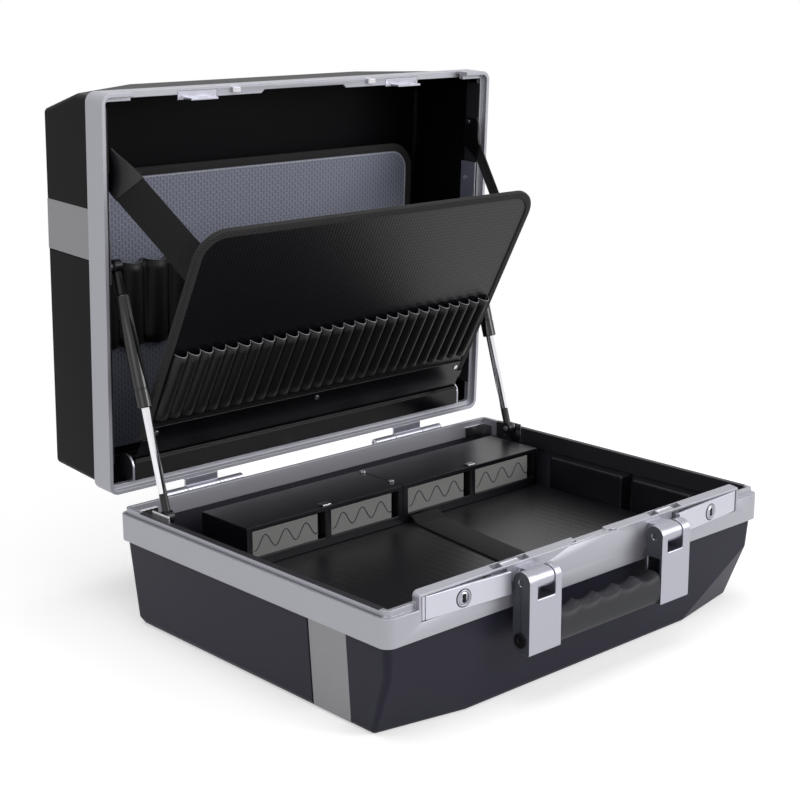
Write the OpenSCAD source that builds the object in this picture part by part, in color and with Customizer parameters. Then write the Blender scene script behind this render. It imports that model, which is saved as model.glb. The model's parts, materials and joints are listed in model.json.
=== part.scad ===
// Hard tool case standing open on its base, with a tool board in the lid and four small drawers.
// Millimetres. Origin at the centre of the base's bottom face, +X to the right of someone who
// faces the handle, +Y towards the hinges, +Z up. The lid is drawn closed and then swung open.

/* [Case] */
// Width over the aluminium frame
case_w = 490; // [460:1:560]
// Depth over the aluminium frame, front to back
case_d = 377; // [350:1:430]
// Height of the base, from its bottom face to the top of its frame band
base_h = 110; // [104:1:140]
// Height of the lid above the frame band when closed
lid_h = 109; // [104:1:140]
// Radius of the frame's corners seen from above
corner_r = 10; // [9:0.5:16]
// Wall thickness of the two moulded shells
shell_t = 2.8; // [2:0.1:4]
// How far the base shell's walls lean in from the frame to the closed end
base_lean = 6; // [3:0.5:9]
// How far the lid shell's walls lean in from the frame to the closed end
lid_lean = 1.5; // [1:0.5:6]
// Radius along the closed end's edges
shell_edge_r = 5; // [3:0.5:8]
// How far the front corners are swept back at the closed end
facet_sweep = 17; // [8:1:24]
// Distance of the facets' start in from the frame's side, along the front edge
facet_in = 100; // [75:1:135]
// Height of the facets' top point, below the frame band's edge
facet_drop = 54; // [40:1:70]
// Angle the lid stands open
lid_open = 87.3; // [70:0.1:95]

/* [Frame] */
// Height of the base frame's outer band
base_band_h = 25.5; // [22:0.5:32]
// Height of the lid frame's outer band
lid_band_h = 27.5; // [25:0.5:34]
// Width of the frame's section, from outer to inner face
rail_w = 8.5; // [8:0.1:11]
// Thickness of the frame's skirt round the shell
skirt_t = 3.2; // [2.5:0.1:4]
// Depth of the frame's thick part
rail_core_h = 12; // [10:0.5:14]
// Height of the tongue that enters the lid's frame
tongue_h = 5.7; // [4:0.1:7]
// Distance of the tongue from the outer face
tongue_in = 4.2; // [3.6:0.1:4.8]
// Gap left between base and lid where they meet
closing_gap = 0.4; // [0.3:0.1:0.8]
// Distance of the raised latch rail's ends in from the frame's side
latch_rail_in = 35; // [31:1:39]
// Height of the raised latch rail above the band
latch_rail_h = 14.8; // [14:0.2:18]
// How far the latch rail's top falls towards the front
latch_fall = 2.3; // [1.5:0.1:3]

/* [Hinges] */
// Distance of each hinge's centre in from the frame's side
hinge_in = 106.5; // [85:0.5:135]
// Length of each hinge
hinge_len = 97; // [80:1:120]
// Length of the lid's knuckle in the middle
hinge_mid = 39; // [30:1:50]
// Distance of the hinge axis behind the frame
hinge_back = 12.5; // [10:0.5:15]
// Outer radius of the knuckles
knuckle_r = 4.6; // [4:0.1:5.5]
// Radius of the hinge pins
hinge_pin_r = 2; // [1.6:0.1:2.5]

/* [Struts] */
// Distance of the struts' centre lines in from the frame's side
strut_in = 18; // [18:0.5:23]
// Distance of the lower stud in front of the hinge axis
stud_low_front = 68; // [61:1:91]
// Height of the lower stud above the frame band
stud_low_z = 5; // [3:0.5:8]
// Distance of the upper stud in front of the hinge axis with the lid closed
stud_up_front = 231; // [211:1:246]
// Height of the upper stud above the frame band with the lid closed
stud_up_z = 10.5; // [10:0.5:14]
// Radius of the strut tube
tube_r = 7; // [6:0.1:7]
// Radius of the piston rod
rod_r = 4; // [3:0.1:5]

/* [Handle] */
// Gap between a latch lever's free end and the handle bracket beside it
bracket_gap = 4.5; // [3:0.1:12]
// Width of each handle bracket
bracket_w = 39.5; // [34:0.5:44]
// Length of the barrel in each bracket's notch
barrel_len = 21.4; // [16:0.2:24]
// Distance of the handle's axis in front of the frame
handle_out = 14; // [13:0.5:16]
// Height of the handle's axis above the frame band
handle_z = 0; // [-4:0.5:3]
// Distance from the handle's axis down to the brackets' lower ends
handle_drop = 63; // [56:1:70]
// Thickness of the brackets, front to back
bracket_t = 19.4; // [18:0.2:21]
// Height of the grip
grip_h = 31; // [26:1:36]
// Radius of the heads of the grip's two screws
grip_screw_r = 6.7; // [4:0.1:7.5]

/* [Latches] */
// Distance of the lever's pivot in from the latch rail's end
lever_pivot_in = 5.5; // [5:0.5:12]
// Length of the lever from its pivot to its free end
lever_l = 93.5; // [86:0.5:96]
// Height of the lever's lower edge, below the frame band's edge
lever_low = 10.3; // [8:0.1:14]
// Height of the lever's upper edge above the frame band's edge
lever_high = 10; // [8.8:0.1:11]
// Thickness of the lever plate
lever_t = 2.7; // [2.2:0.1:3]
// Angle at which the levers stand open in this pose
lever_open = 4.5; // [3.5:0.1:8]
// Distance of the lock from the lever's pivot
lock_along = 41.5; // [31:0.5:56]
// Radius of the lock's turning plug
lock_r = 5.6; // [4.5:0.1:6.5]
// Distance of the lid's hooks from the lever's pivot
hook_along = 74.5; // [66:0.5:80]
// Distance of the locating pegs from the hooks
peg_along = 44; // [34:1:54]

/* [Tool boards] */
// Gap between the tool boards and the frame's outer face at each side
board_side = 32; // [32:0.5:45]
// Thickness of the boards
board_t = 3.2; // [2.5:0.1:4]
// Length of the front board above its hinge strip
front_board_l = 236; // [200:1:240]
// Corner radius of the boards
board_r = 28; // [15:1:40]
// Angle of the front board to the lid's opening
board_fold = 25.5; // [15:0.5:30]
// Distance of the board hinge in from the frame's rear face with the lid closed
board_hinge_in = 28.5; // [26.5:0.5:32.5]
// Height of the board hinge above the frame band with the lid closed
board_hinge_z = 6.4; // [6:0.1:8]
// Width of the edge binding on a board's face
binding_w = 7; // [5:0.5:10]
// Number of pockets on the front board
front_pocket_n = 28; // [20:1:32]
// Number of pockets on the rear board
rear_pocket_n = 14; // [10:1:18]
// Height of the rear board's face above the frame band with the lid closed
rear_board_z = 87; // [80:1:90]
// Length of the rear board
rear_board_l = 277.5; // [240:0.5:285]
// Distance of the rear board's lower edge in from the frame's rear face
rear_board_in = 14.5; // [14:0.5:24]
// Height of the front board's pockets
front_pocket_h = 77; // [60:1:90]
// Depth of the front board's pockets
front_pocket_d = 8; // [5:0.5:10]
// Height of the front pockets' foot above the board's lower edge
front_pocket_low = 25; // [16:1:40]
// Height of the rear board's pockets
rear_pocket_h = 86; // [60:1:100]
// Depth of the rear board's pockets
rear_pocket_d = 12; // [8:0.5:14]
// Height of the rear pockets' foot above the board's lower edge
rear_pocket_low = 104; // [80:1:120]
// Width of the webbing straps to the front board
strap_w = 33; // [28:1:40]
// Distance of the straps' anchors in front of the hinge axis with the lid closed
anchor_front = 328; // [300:1:332]
// Distance of the straps' lower ends below the front board's top edge, behind the board
strap_down = 47; // [40:1:60]
// Width of the pull strap on the floor board
floor_strap_w = 35.5; // [25:0.5:45]
// Distance of the pull strap from the case's centre
floor_strap_x = 36.1; // [-60:0.1:60]
// Angle at which the pull strap lies
floor_strap_turn = 7.8; // [0:0.1:15]
// Angle by which the straps are turned out of the upright plane along their free run
strap_twist = 30; // [0:1:40]
// Thickness of the webbing
strap_t = 1.8; // [1.2:0.1:2.4]

/* [Inside the base] */
// Depth of the floor board's top below the frame band's edge
floor_z = 46; // [44:1:50]
// Distance of the drawer housings' front in from the frame's rear face
drawer_front_in = 108.5; // [98:0.5:118]
// Depth of the drawer housings, front to back
housing_d = 70; // [60:1:80]
// Width of one drawer housing
housing_w = 197; // [180:1:198]
// Height of the drawer housings
housing_h = 40.5; // [38:0.5:41]
// Gap between the right housing and the frame's outer face
housing_side = 27.4; // [27:0.1:45]
// Height of the wall blocks' top, below the frame band's edge
block_top = 11; // [11:0.5:16]
// Distance of the wall blocks' front end in from the frame's front face
block_front_in = 64.5; // [50:0.5:80]
// Length of the front pair of wall blocks
block_front_l = 75; // [60:1:90]
// Gap between the front and the rear wall block at each side
block_between = 13; // [8:1:20]
// Width of the side bands on base and lid
band_w = 48; // [40:1:60]
// Distance of the base's side bands in from the frame's front face, to their middle
base_band_in = 80.5; // [70:0.5:200]
// Distance of the lid's side bands in from the frame's front face, to their middle
lid_band_in = 131.5; // [70:0.5:200]

/* [Hidden] */
$fn = 64;
hw = case_w / 2;
hd = case_d / 2;
rim = base_h;
facet_half = hw - facet_in;
latch_rail_half = hw - latch_rail_in;
fit = 0.1;                        // between pieces that are fixed to each other
run = 0.05;                       // between a pin and its bore
seat = 0.3;                       // between pieces that move past each other
blend_fn = 32;                    // facets of the rounds inside a hull
hinge_x = hw - hinge_in;
hinge_y = hd + hinge_back;
hinge_z = rim;
lid_rail_w = rail_w - 0.5;        // the lid's section stands back from the base's brackets
liner_t = 1.1;
liner_back = hd - 30;             // the liners stop short of the frame's rear corners
liner_front = -hd + corner_r + 3.5;
lid_lip_w = tongue_in - closing_gap;
flange_z = tongue_h + closing_gap;  // underside of the lid frame's flange
band_t = 0.6;                     // the side bands are thin sheet
band_d = 1.6;                     // depth of their channels
band_gap = 0.6;                   // between a band and its channel's edges
base_band_y = -hd + base_band_in;
lid_band_y = -hd + lid_band_in;
latch_slope_w = rail_w - 1;
lever_pivot_x = latch_rail_half - lever_pivot_in;
lever_end_x = lever_pivot_x - lever_l;
lock_x = lever_pivot_x - lock_along;
hook_x = lever_pivot_x - hook_along;
peg_x = hook_x - peg_along;
drain_x = hook_x - 11;
hook_y = -hd + rail_w + 0.5;      // front face of the hooks, behind the latch rail
hook_t = 2;
hook_w = 31;
hook_l = 10;
hook_plate_t = 1.4;               // the hooks' foot, let into the lid rail's flange
hook_plate_half = hook_w / 2 + 7;
hook_plate_in = 3.5;              // the foot's front edge, behind the frame's face
hook_plate_d = 8;
lid_flange_t = 2.6;
peg_y = -hd + 4.6;
peg_w = 10;                       // the pegs are stubs with a rounded end
peg_t = 4.6;
peg_l = 4.5;
peg_seat = 0.8;                   // room round a peg in its slot
lever_recess_d = 3;
lever_fold_w = 4;                 // the free end's fold, along the lever and into the rail
lever_fold_d = 2;
lever_pivot_y = -hd + 1.8;
lever_pin_r = 1;
lever_barrel_r = 1.8;
nose_w = 8;
nose_h = 3;
nose_z = 7.5;
bracket_out = lever_end_x - bracket_gap;
handle_y = -hd - handle_out;
ear_r = bracket_t / 2;
handle_pin_r = 3;
bracket_wall = 3;                 // of the hollow that takes the grip's end
ear_out = 10.3;                   // width of a bracket's outer ear
notch_low = 14.5;                 // depth of the notch between the ears, below the axis
grip_shank_r = 2;
grip_screw_z = 12 - handle_drop;  // height of the grip's screws from the handle's axis
strut_x = hw - strut_in;
stud_low_y = hinge_y - stud_low_front;
stud_up_y = hinge_y - stud_up_front;
strut_low = [stud_low_y, rim + stud_low_z];
strut_up = lid_at([stud_up_y, rim + stud_up_z]);
strut_len = norm(strut_up - strut_low);
strut_ang = atan2(strut_up[1] - strut_low[1], strut_up[0] - strut_low[0]);
strut_closed = norm([stud_up_y, rim + stud_up_z] - strut_low);
stroke = strut_len - strut_closed;
socket_r = 6.4;
socket_half = 4;                  // half width of a strut's sockets along X
fitting_l = 22;                   // from the lower socket's centre to the end of its neck
fitting_up_l = 27;                // the same at the upper end
neck_r = 3.9;
piston_l = 8;
tube_wall = 1.2;
stud_r = 3;                       // the part of the studs inside the sockets
tube_l = strut_len - fitting_l - fitting_up_l - stroke - 8;
tube_bottom = strut_len - fitting_up_l - tube_l;
stud_plate_t = 1.8;
lid_plate_t = 1.4;
lid_wall_x = hw - lid_rail_w - liner_t - 2 * fit;   // inner face of the lid's side liner
base_wall_x = hw - rail_w - liner_t - 2 * fit;      // inner face of the base's side liner
board_w = case_w - 2 * board_side;
board_hinge_y = hd - board_hinge_in;
board_hinge = lid_at([board_hinge_y, rim + board_hinge_z]);
board_lean = board_fold + 90 - lid_open;
strip_l = 26;                     // the smooth strip between hinge and board
bead_r = 2.1;                     // the strip's bead in the rail's groove
rail_h = 24;
anchor_y = hinge_y - anchor_front;
strap_start = lid_at([anchor_y, rim + 16]);
strap_up = strip_l + front_board_l - strap_down;  // where the strap ends, along the front board
strap_behind = board_t + 1.6;     // and behind the board's face
strap_end = [board_hinge[0] - strap_up * sin(board_lean) + strap_behind * cos(board_lean),
    board_hinge[1] + strap_up * cos(board_lean) + strap_behind * sin(board_lean)];
rear_board_bottom = hd - rear_board_in;
floor_t = 3;
board_gap = 1.5;                  // round the floor board
drawer_front_y = hd - drawer_front_in;
housing_joint_x = hw - housing_side - fit - housing_w;
block_in = 25;                    // wall blocks reach this far in from the frame's outer face
ledge = 9;                        // their lower part carries the floor board
housing_wall = 6.6;
cell_divider = 8;
cell_low = 9.4;                   // thickness under the drawers
cell_w = (housing_w - 2 * housing_wall - cell_divider) / 2;
cell_h = housing_h - cell_low - 4.7;
front_panel_w = 79;
drawer_wall = 1.6;
drawer_gap = 0.4;

// ---- places -------------------------------------------------------------------------------

// Where a point [y, z] of the closed lid lies when the lid stands open.
function lid_at(p) = let (y = p[0] - hinge_y, z = p[1] - hinge_z)
    [hinge_y + y * cos(lid_open) + z * sin(lid_open), hinge_z - y * sin(lid_open) + z * cos(lid_open)];

module on_lid() {
    translate([0, hinge_y, hinge_z])
        rotate([-lid_open, 0, 0])
            translate([0, -hinge_y, -hinge_z])
                children();
}

// The front board's own axes: +Z up along the board from its hinge, -Y out of its face.
module on_front_board() {
    translate([0, board_hinge[0], board_hinge[1]])
        rotate([board_lean, 0, 0])
            children();
}

// Along a strut: +Z from the lower stud to the upper one.
module on_strut(side) {
    translate([side * strut_x, strut_low[0], strut_low[1]])
        rotate([strut_ang - 90, 0, 0])
            children();
}

// A latch lever's place: drawn closed for the right side, then opened and mirrored.
module on_latch(side) {
    mirror([side < 0 ? 1 : 0, 0, 0])
        translate([lever_pivot_x, lever_pivot_y, 0])
            rotate([0, 0, lever_open])
                translate([-lever_pivot_x, -lever_pivot_y, 0])
                    children();
}

module both_sides() {
    children();
    mirror([1, 0, 0]) children();
}

module bar_x(x0, x1, r) {
    translate([x0, 0, 0]) rotate([0, 90, 0]) cylinder(h = x1 - x0, r = r);
}

module block(x0, x1, y0, y1, z0, z1) {
    translate([x0, y0, z0]) cube([x1 - x0, y1 - y0, z1 - z0]);
}

// ---- outlines -----------------------------------------------------------------------------

module round_rect(w, d, r) {
    square([w - 2 * r, d], center = true);
    square([w, d - 2 * r], center = true);
    for (sx = [-1, 1], sy = [-1, 1])
        translate([sx * (w / 2 - r), sy * (d / 2 - r)]) circle(r = r);
}

// The case's outline, set in by a distance all round.
module case_outline(inset) {
    round_rect(case_w - 2 * inset, case_d - 2 * inset, max(corner_r - inset, 1.5));
}

module ring(z0, z1, inset_out, inset_in) {
    translate([0, 0, z0])
        linear_extrude(z1 - z0)
            difference() {
                case_outline(inset_out);
                case_outline(inset_in);
            }
}

// ---- shells -------------------------------------------------------------------------------

// One half's moulded body as a solid: rim at z = 0, closed end at z = -depth, set in by a wall.
module shell_body(depth, lean, set_in, floor_in, rise) {
    top_in = skirt_t + 0.5 + set_in;
    end_in = top_in + lean;
    mid_in = top_in + lean * (facet_drop - rail_core_h) / (depth - rail_core_h);
    r = shell_edge_r;
    corner = max(corner_r - skirt_t, r + 0.5);
    end_z = -depth + floor_in + r;
    hull() {
        translate([0, 0, -rail_core_h - 1])
            linear_extrude(1 + rise)
                round_rect(case_w - 2 * top_in, case_d - 2 * top_in, corner, $fn = blend_fn);
        for (sx = [-1, 1]) {
            translate([sx * (hw - mid_in - corner), -(hd - mid_in - corner), -facet_drop])
                cylinder(h = 0.1, r = corner, $fn = blend_fn);
            translate([sx * (facet_half - set_in), -(hd - end_in - r), end_z])
                sphere(r = r, $fn = blend_fn);
            translate([sx * (hw - end_in - r), -(hd - end_in - facet_sweep - r), end_z])
                sphere(r = r, $fn = blend_fn);
            translate([sx * (hw - end_in - corner), hd - end_in - corner, end_z + 2])
                cylinder(h = 0.1, r = corner, $fn = blend_fn);
            translate([sx * (hw - end_in - corner), hd - end_in - corner, end_z - r])
                cylinder(h = 0.1, r = corner - r, $fn = blend_fn);
        }
    }
}

module half_shell(depth, lean) {
    difference() {
        shell_body(depth, lean, 0, 0, 0);
        shell_body(depth, lean, shell_t, shell_t, 2);
    }
}

module base_shell() {
    color("#26262B")
        translate([0, 0, rim])
            difference() {
                half_shell(base_h, base_lean);
                band_channels(base_h, base_lean, base_band_h, base_band_y);
            }
}

module lid_shell() {
    color("#26262B")
        on_lid()
            difference() {
                translate([0, 0, rim])
                    mirror([0, 0, 1])
                        difference() {
                            half_shell(lid_h, lid_lean);
                            band_channels(lid_h, lid_lean, lid_band_h, lid_band_y);
                        }
                // room for the front rail's flange
                block(-latch_rail_half - 4, latch_rail_half + 4, -hd, -hd + 14,
                    rim, rim + latch_rail_h + closing_gap + 3);
            }
}

// A flat strip down a shell's right wall, from a height to an end below the rim. Its inner face
// lies this deep under the wall's surface.
module wall_strip(depth, lean, y_mid, width, top, end, deep, thick) {
    slope = lean / (depth - rail_core_h);
    top_in = skirt_t + 0.5 + slope * (top - rail_core_h);
    translate([hw - top_in, y_mid - width / 2, -top])
        rotate([0, atan(slope), 0])
            translate([-deep, 0, top - end])
                cube([thick, width, end - top]);
}

// Channels that the side bands lie in.
module band_channels(depth, lean, band_h, y_mid) {
    both_sides()
        wall_strip(depth, lean, y_mid, band_w + 2 * band_gap, band_h - 2, depth + 2, band_d, band_d + 2);
}

// Flat metal bands down the two sides of each half.
module side_bands(depth, lean, band_h, y_mid) {
    both_sides()
        wall_strip(depth, lean, y_mid, band_w, band_h - 1.5, depth - 2, band_d - fit, band_t);
}

module base_side_bands() {
    color("#8F8F93")
        translate([0, 0, rim]) side_bands(base_h, base_lean, base_band_h, base_band_y);
}

module lid_side_bands() {
    color("#8F8F93")
        on_lid()
            translate([0, 0, rim])
                mirror([0, 0, 1])
                    side_bands(lid_h, lid_lean, lid_band_h, lid_band_y);
}

// ---- base frame ---------------------------------------------------------------------------

module latch_rail_profile() {
    polygon([[-hd, -1], [-hd, latch_rail_h - latch_fall], [-hd + latch_slope_w, latch_rail_h],
        [-hd + rail_w, latch_rail_h], [-hd + rail_w, -1]]);
}

// What is cut for the lever's nose, between two depth positions.
module nose_window(y0, y1) {
    side_gap = 1.2;
    high_gap = 0.8;
    block(hook_x - nose_w / 2 - side_gap, hook_x + nose_w / 2 + side_gap, y0, y1,
        rim + nose_z - nose_h / 2 - high_gap, rim + nose_z + nose_h / 2 + high_gap);
}

// The raised rail that carries the latches, with its upper corners rounded off.
module latch_rail() {
    round_r = 5;
    intersection() {
        translate([-latch_rail_half, 0, rim])
            rotate([90, 0, 90])
                linear_extrude(2 * latch_rail_half) latch_rail_profile();
        translate([0, -hd + rail_w, 0])
            rotate([90, 0, 0])
                linear_extrude(rail_w)
                    hull() {
                        translate([-latch_rail_half, rim - 1]) square([2 * latch_rail_half, 1]);
                        for (sx = [-1, 1])
                            translate([sx * (latch_rail_half - round_r), rim + latch_rail_h - round_r])
                                circle(r = round_r, $fn = blend_fn);
                    }
    }
}

module base_frame() {
    centre_half = 31;
    dip_half = 21;
    dip = 2;
    color("#B4B4BC")
        difference() {
            union() {
                ring(rim - rail_core_h, rim, 0, rail_w);
                ring(rim - base_band_h, rim - rail_core_h, 0, skirt_t);
                ring(rim, rim + tongue_h, tongue_in, rail_w);
                latch_rail();
            }
            // groove between the band and the tongue, at the sides and the back
            intersection() {
                ring(rim - 1.5, rim + 1, tongue_in - 1.2, tongue_in);
                block(-hw, hw, -hd + corner_r, hd, rim - 2, rim + 1);
            }
            // the latch rail stands lower in the middle, and its front edge is cut back there
            block(-dip_half, dip_half, -hd - 1, -hd + rail_w + 1, rim + latch_rail_h - dip,
                rim + latch_rail_h + 1);
            block(-centre_half, centre_half, -hd - 1, -hd + 1.6, rim + latch_rail_h - latch_fall - 1.2,
                rim + latch_rail_h + 1);
            both_sides() {
                // the tongue stands lower under the side liner
                block(hw - rail_w - 1, hw - tongue_in, liner_front - fit, liner_back + fit,
                    rim + tongue_h - liner_t - fit, rim + tongue_h + 1);
                // recess for the lever
                block(lever_end_x - 2, lever_pivot_x + lever_barrel_r + 1, -hd - 1, -hd + lever_recess_d,
                    rim - lever_low - 0.5, rim + lever_high + seat);
                block(lever_end_x - 2, lever_end_x + lever_fold_w + 2 * seat, -hd - 1,
                    -hd + lever_t + lever_fold_d + seat, rim - 2 - seat, rim + lever_high + seat);
                translate([lever_pivot_x, lever_pivot_y, rim - lever_low - 0.5])
                    cylinder(h = lever_low + lever_high + seat + 0.5, r = lever_barrel_r + seat);
                // window for the lever's nose
                nose_window(-hd, -hd + rail_w + 1);
                // slots in the sloping top: one takes the locating peg, one drains
                for (x = [peg_x, drain_x])
                    block(x - peg_w / 2 - peg_seat, x + peg_w / 2 + peg_seat,
                        peg_y - peg_t / 2 - peg_seat, peg_y + peg_t / 2 + peg_seat,
                        rim + latch_rail_h - peg_l - peg_seat, rim + latch_rail_h + 1);
                // bore for the lever's pin
                translate([lever_pivot_x, lever_pivot_y, rim - lever_low - 4])
                    cylinder(h = lever_low + lever_high + 4.7, r = lever_pin_r + fit);
            }
        }
}

module latch_pins() {
    both_sides()
        translate([lever_pivot_x, lever_pivot_y, rim - lever_low - 3.5])
            cylinder(h = lever_low + lever_high + 4, r = lever_pin_r);
}

// Black strips that cover the side rails' inner faces and, on the base, the tongue's top.
module base_side_liners() {
    color("#2E2D33")
        both_sides() {
            x1 = hw - rail_w - fit;
            block(x1 - liner_t, x1, liner_front, liner_back, rim - rail_core_h - 0.5,
                rim + tongue_h);
            block(x1 - liner_t, hw - tongue_in - fit, liner_front, liner_back,
                rim + tongue_h - liner_t, rim + tongue_h);
        }
}

module lid_side_liners() {
    x1 = hw - lid_rail_w - fit;
    color("#2E2D33")
        on_lid()
            both_sides()
                block(x1 - liner_t, x1, liner_front, liner_back, rim + flange_z, rim + rail_core_h + 13);
}

// Bright angle pieces inside the two rear corners of the base frame.
module rear_corner_angles() {
    t = 1.5;
    color("#C6C6CC")
        translate([0, 0, rim - rail_core_h])
            linear_extrude(rail_core_h - 0.5)
                intersection() {
                    difference() {
                        case_outline(rail_w + fit);
                        case_outline(rail_w + fit + t);
                    }
                    both_sides()
                        translate([hw - rail_w - 30, hd - rail_w - 14]) square(40);
                }
}

// ---- hinges -------------------------------------------------------------------------------

// Everything of a leaf that clears the other leaf's knuckle is cut with this much to spare.
module knuckle(x0, x1) {
    translate([0, hinge_y, hinge_z])
        difference() {
            bar_x(x0, x1, knuckle_r);
            bar_x(x0 - 1, x1 + 1, hinge_pin_r + run);
        }
}

module hinge_leaf(x0, x1, z0, z1) {
    difference() {
        block(x0, x1, hd + fit, hinge_y, z0, z1);
        translate([0, hinge_y, hinge_z]) bar_x(x0 - 1, x1 + 1, hinge_pin_r + run);
    }
}

module hinge_base_leaves() {
    leaf_t = 2.5;
    end_l = (hinge_len - hinge_mid) / 2 - seat;
    color("#B4B4BC")
        both_sides()
            for (x0 = [hinge_x - hinge_len / 2, hinge_x + hinge_len / 2 - end_l]) {
                knuckle(x0, x0 + end_l);
                hinge_leaf(x0, x0 + end_l, hinge_z - leaf_t - seat, hinge_z - seat);
                block(x0, x0 + end_l, hd + fit, hd + fit + 2, hinge_z - 20, hinge_z - seat);
            }
}

module hinge_lid_leaves() {
    leaf_t = 2.5;
    x0 = hinge_x - hinge_mid / 2;
    color("#B4B4BC")
        on_lid()
            both_sides() {
                knuckle(x0, x0 + hinge_mid);
                hinge_leaf(x0, x0 + hinge_mid, hinge_z + seat, hinge_z + leaf_t + seat);
                block(x0, x0 + hinge_mid, hd + fit, hd + fit + 2, hinge_z + seat, hinge_z + 20);
            }
}

module hinge_pins() {
    color("#9A9AA0")
        both_sides()
            translate([0, hinge_y, hinge_z])
                bar_x(hinge_x - hinge_len / 2 + 1, hinge_x + hinge_len / 2 - 1, hinge_pin_r);
}

// ---- lid frame ----------------------------------------------------------------------------

// The flange over the latch rail: deeper at the pegs and hooks, with slanted steps.
module lid_front_rail() {
    low = latch_rail_h + closing_gap;
    half = latch_rail_half + 3;
    shallow = 6.6;
    deep = 10;
    deep_from = 54;
    step = 5;
    difference() {
        translate([0, 0, rim + low])
            linear_extrude(lid_flange_t) {
                translate([-half, -hd]) square([2 * half, shallow]);
                both_sides()
                    polygon([[deep_from - step, -hd + shallow - 1], [deep_from, -hd + deep],
                        [drain_x, -hd + deep], [drain_x + step, -hd + shallow - 1]]);
            }
        // seat of the hook plate
        both_sides()
            block(hook_x - hook_plate_half - fit, hook_x + hook_plate_half + fit, -hd + hook_plate_in - fit,
                -hd + deep + 6, rim + low - 1, rim + low + hook_plate_t + fit);
    }
}

module lid_frame() {
    slot_half = latch_rail_half + closing_gap;
    color("#B4B4BC")
        on_lid() {
            difference() {
                union() {
                    ring(rim + closing_gap, rim + flange_z, 0, lid_lip_w);
                    ring(rim + flange_z, rim + rail_core_h, 0, lid_rail_w);
                    ring(rim + rail_core_h, rim + lid_band_h, 0, skirt_t);
                }
                block(-slot_half, slot_half, -hd - 1, -hd + rail_w + closing_gap,
                    rim, rim + latch_rail_h + closing_gap);
            }
            lid_front_rail();
        }
}

module latch_hooks() {
    top = rim + latch_rail_h + closing_gap;
    color("#3A3A3E")
        on_lid()
            both_sides()
                difference() {
                    union() {
                        block(hook_x - hook_w / 2, hook_x + hook_w / 2, hook_y, hook_y + hook_t,
                            top - hook_l - 2, top + 1);
                        block(hook_x - hook_plate_half, hook_x + hook_plate_half, -hd + hook_plate_in,
                            -hd + hook_plate_in + hook_plate_d, top, top + hook_plate_t);
                    }
                    nose_window(hook_y - 1, hook_y + hook_t + 1);
                }
}

module locating_pegs() {
    top = rim + latch_rail_h + closing_gap;
    round_r = 2;
    color("#C6C6CC")
        on_lid()
            both_sides()
                translate([peg_x, peg_y + peg_t / 2, top])
                    rotate([90, 0, 0])
                        linear_extrude(peg_t)
                            hull() {
                                translate([-peg_w / 2, -1]) square([peg_w, 1]);
                                for (sx = [-1, 1])
                                    translate([sx * (peg_w / 2 - round_r), round_r - peg_l])
                                        circle(r = round_r);
                            }
}

module hook_screws() {
    top = rim + latch_rail_h + closing_gap;
    color("#C6C6CC")
        on_lid()
            both_sides()
                for (x = [hook_x - hook_plate_half + 3, hook_x + hook_plate_half - 3])
                    translate([x, -hd + hook_plate_in + hook_plate_d - 1.5, top - 1])
                        cylinder(h = 1, r = 1.2);
}

// ---- struts -------------------------------------------------------------------------------

module strut_base_studs() {
    x_plate = base_wall_x;
    color("#C6C6CC")
        both_sides() {
            block(x_plate - stud_plate_t, x_plate, stud_low_y - 13, stud_low_y + 13,
                rim - rail_core_h + 1, rim + stud_low_z + 5);
            translate([0, stud_low_y, rim + stud_low_z]) {
                bar_x(strut_x + socket_half + seat, x_plate - stud_plate_t, 4.4);
                bar_x(strut_x - socket_half, strut_x + socket_half + seat, stud_r);
            }
        }
}

module strut_lid_brackets() {
    x_plate = lid_wall_x;
    color("#B9B9BF")
        on_lid()
            both_sides() {
                block(x_plate - lid_plate_t, x_plate, stud_up_y - 60, stud_up_y + 16,
                    rim + tongue_h + 1, rim + 28);
                translate([0, stud_up_y, rim + stud_up_z])
                    bar_x(strut_x + socket_half + seat, x_plate - lid_plate_t, 3.6);
            }
}

module strut_socket() {
    difference() {
        union() {
            bar_x(-socket_half, socket_half, socket_r);
            cylinder(h = fitting_l, r = neck_r);
        }
        bar_x(-socket_half - 1, socket_half + 1, stud_r + run);
    }
}

module strut_lower_socket(side) {
    color("#1E1E22")
        on_strut(side)
            difference() {
                strut_socket();
                translate([0, 0, fitting_l - 8]) cylinder(h = 9, r = 2.5);
            }
}

module strut_rod(side) {
    color("#D8D8DC")
        on_strut(side) {
            translate([0, 0, fitting_l - 7.5]) cylinder(h = 7.5, r = 2.5 - fit);
            translate([0, 0, fitting_l]) cylinder(h = tube_bottom - fitting_l + 9, r = rod_r);
            translate([0, 0, tube_bottom + 8]) cylinder(h = piston_l, r = tube_r - tube_wall - run);
        }
}

module strut_tube(side) {
    color("#1E1E22")
        on_strut(side)
            translate([0, 0, tube_bottom])
                difference() {
                    cylinder(h = tube_l, r = tube_r);
                    translate([0, 0, -1]) cylinder(h = 8, r = rod_r + run);
                    translate([0, 0, 6]) cylinder(h = tube_l - 9, r = tube_r - tube_wall);
                }
}

module strut_upper_fitting(side) {
    color("#1E1E22")
        on_strut(side)
            translate([0, 0, strut_len])
                rotate([180, 0, 0])
                    difference() {
                        union() {
                            bar_x(-socket_half, socket_half, socket_r);
                            cylinder(h = fitting_up_l - fit, r = neck_r);
                        }
                        bar_x(-socket_half - 1, -socket_half + 2, stud_r);
                    }
}

// ---- handle -------------------------------------------------------------------------------

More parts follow.
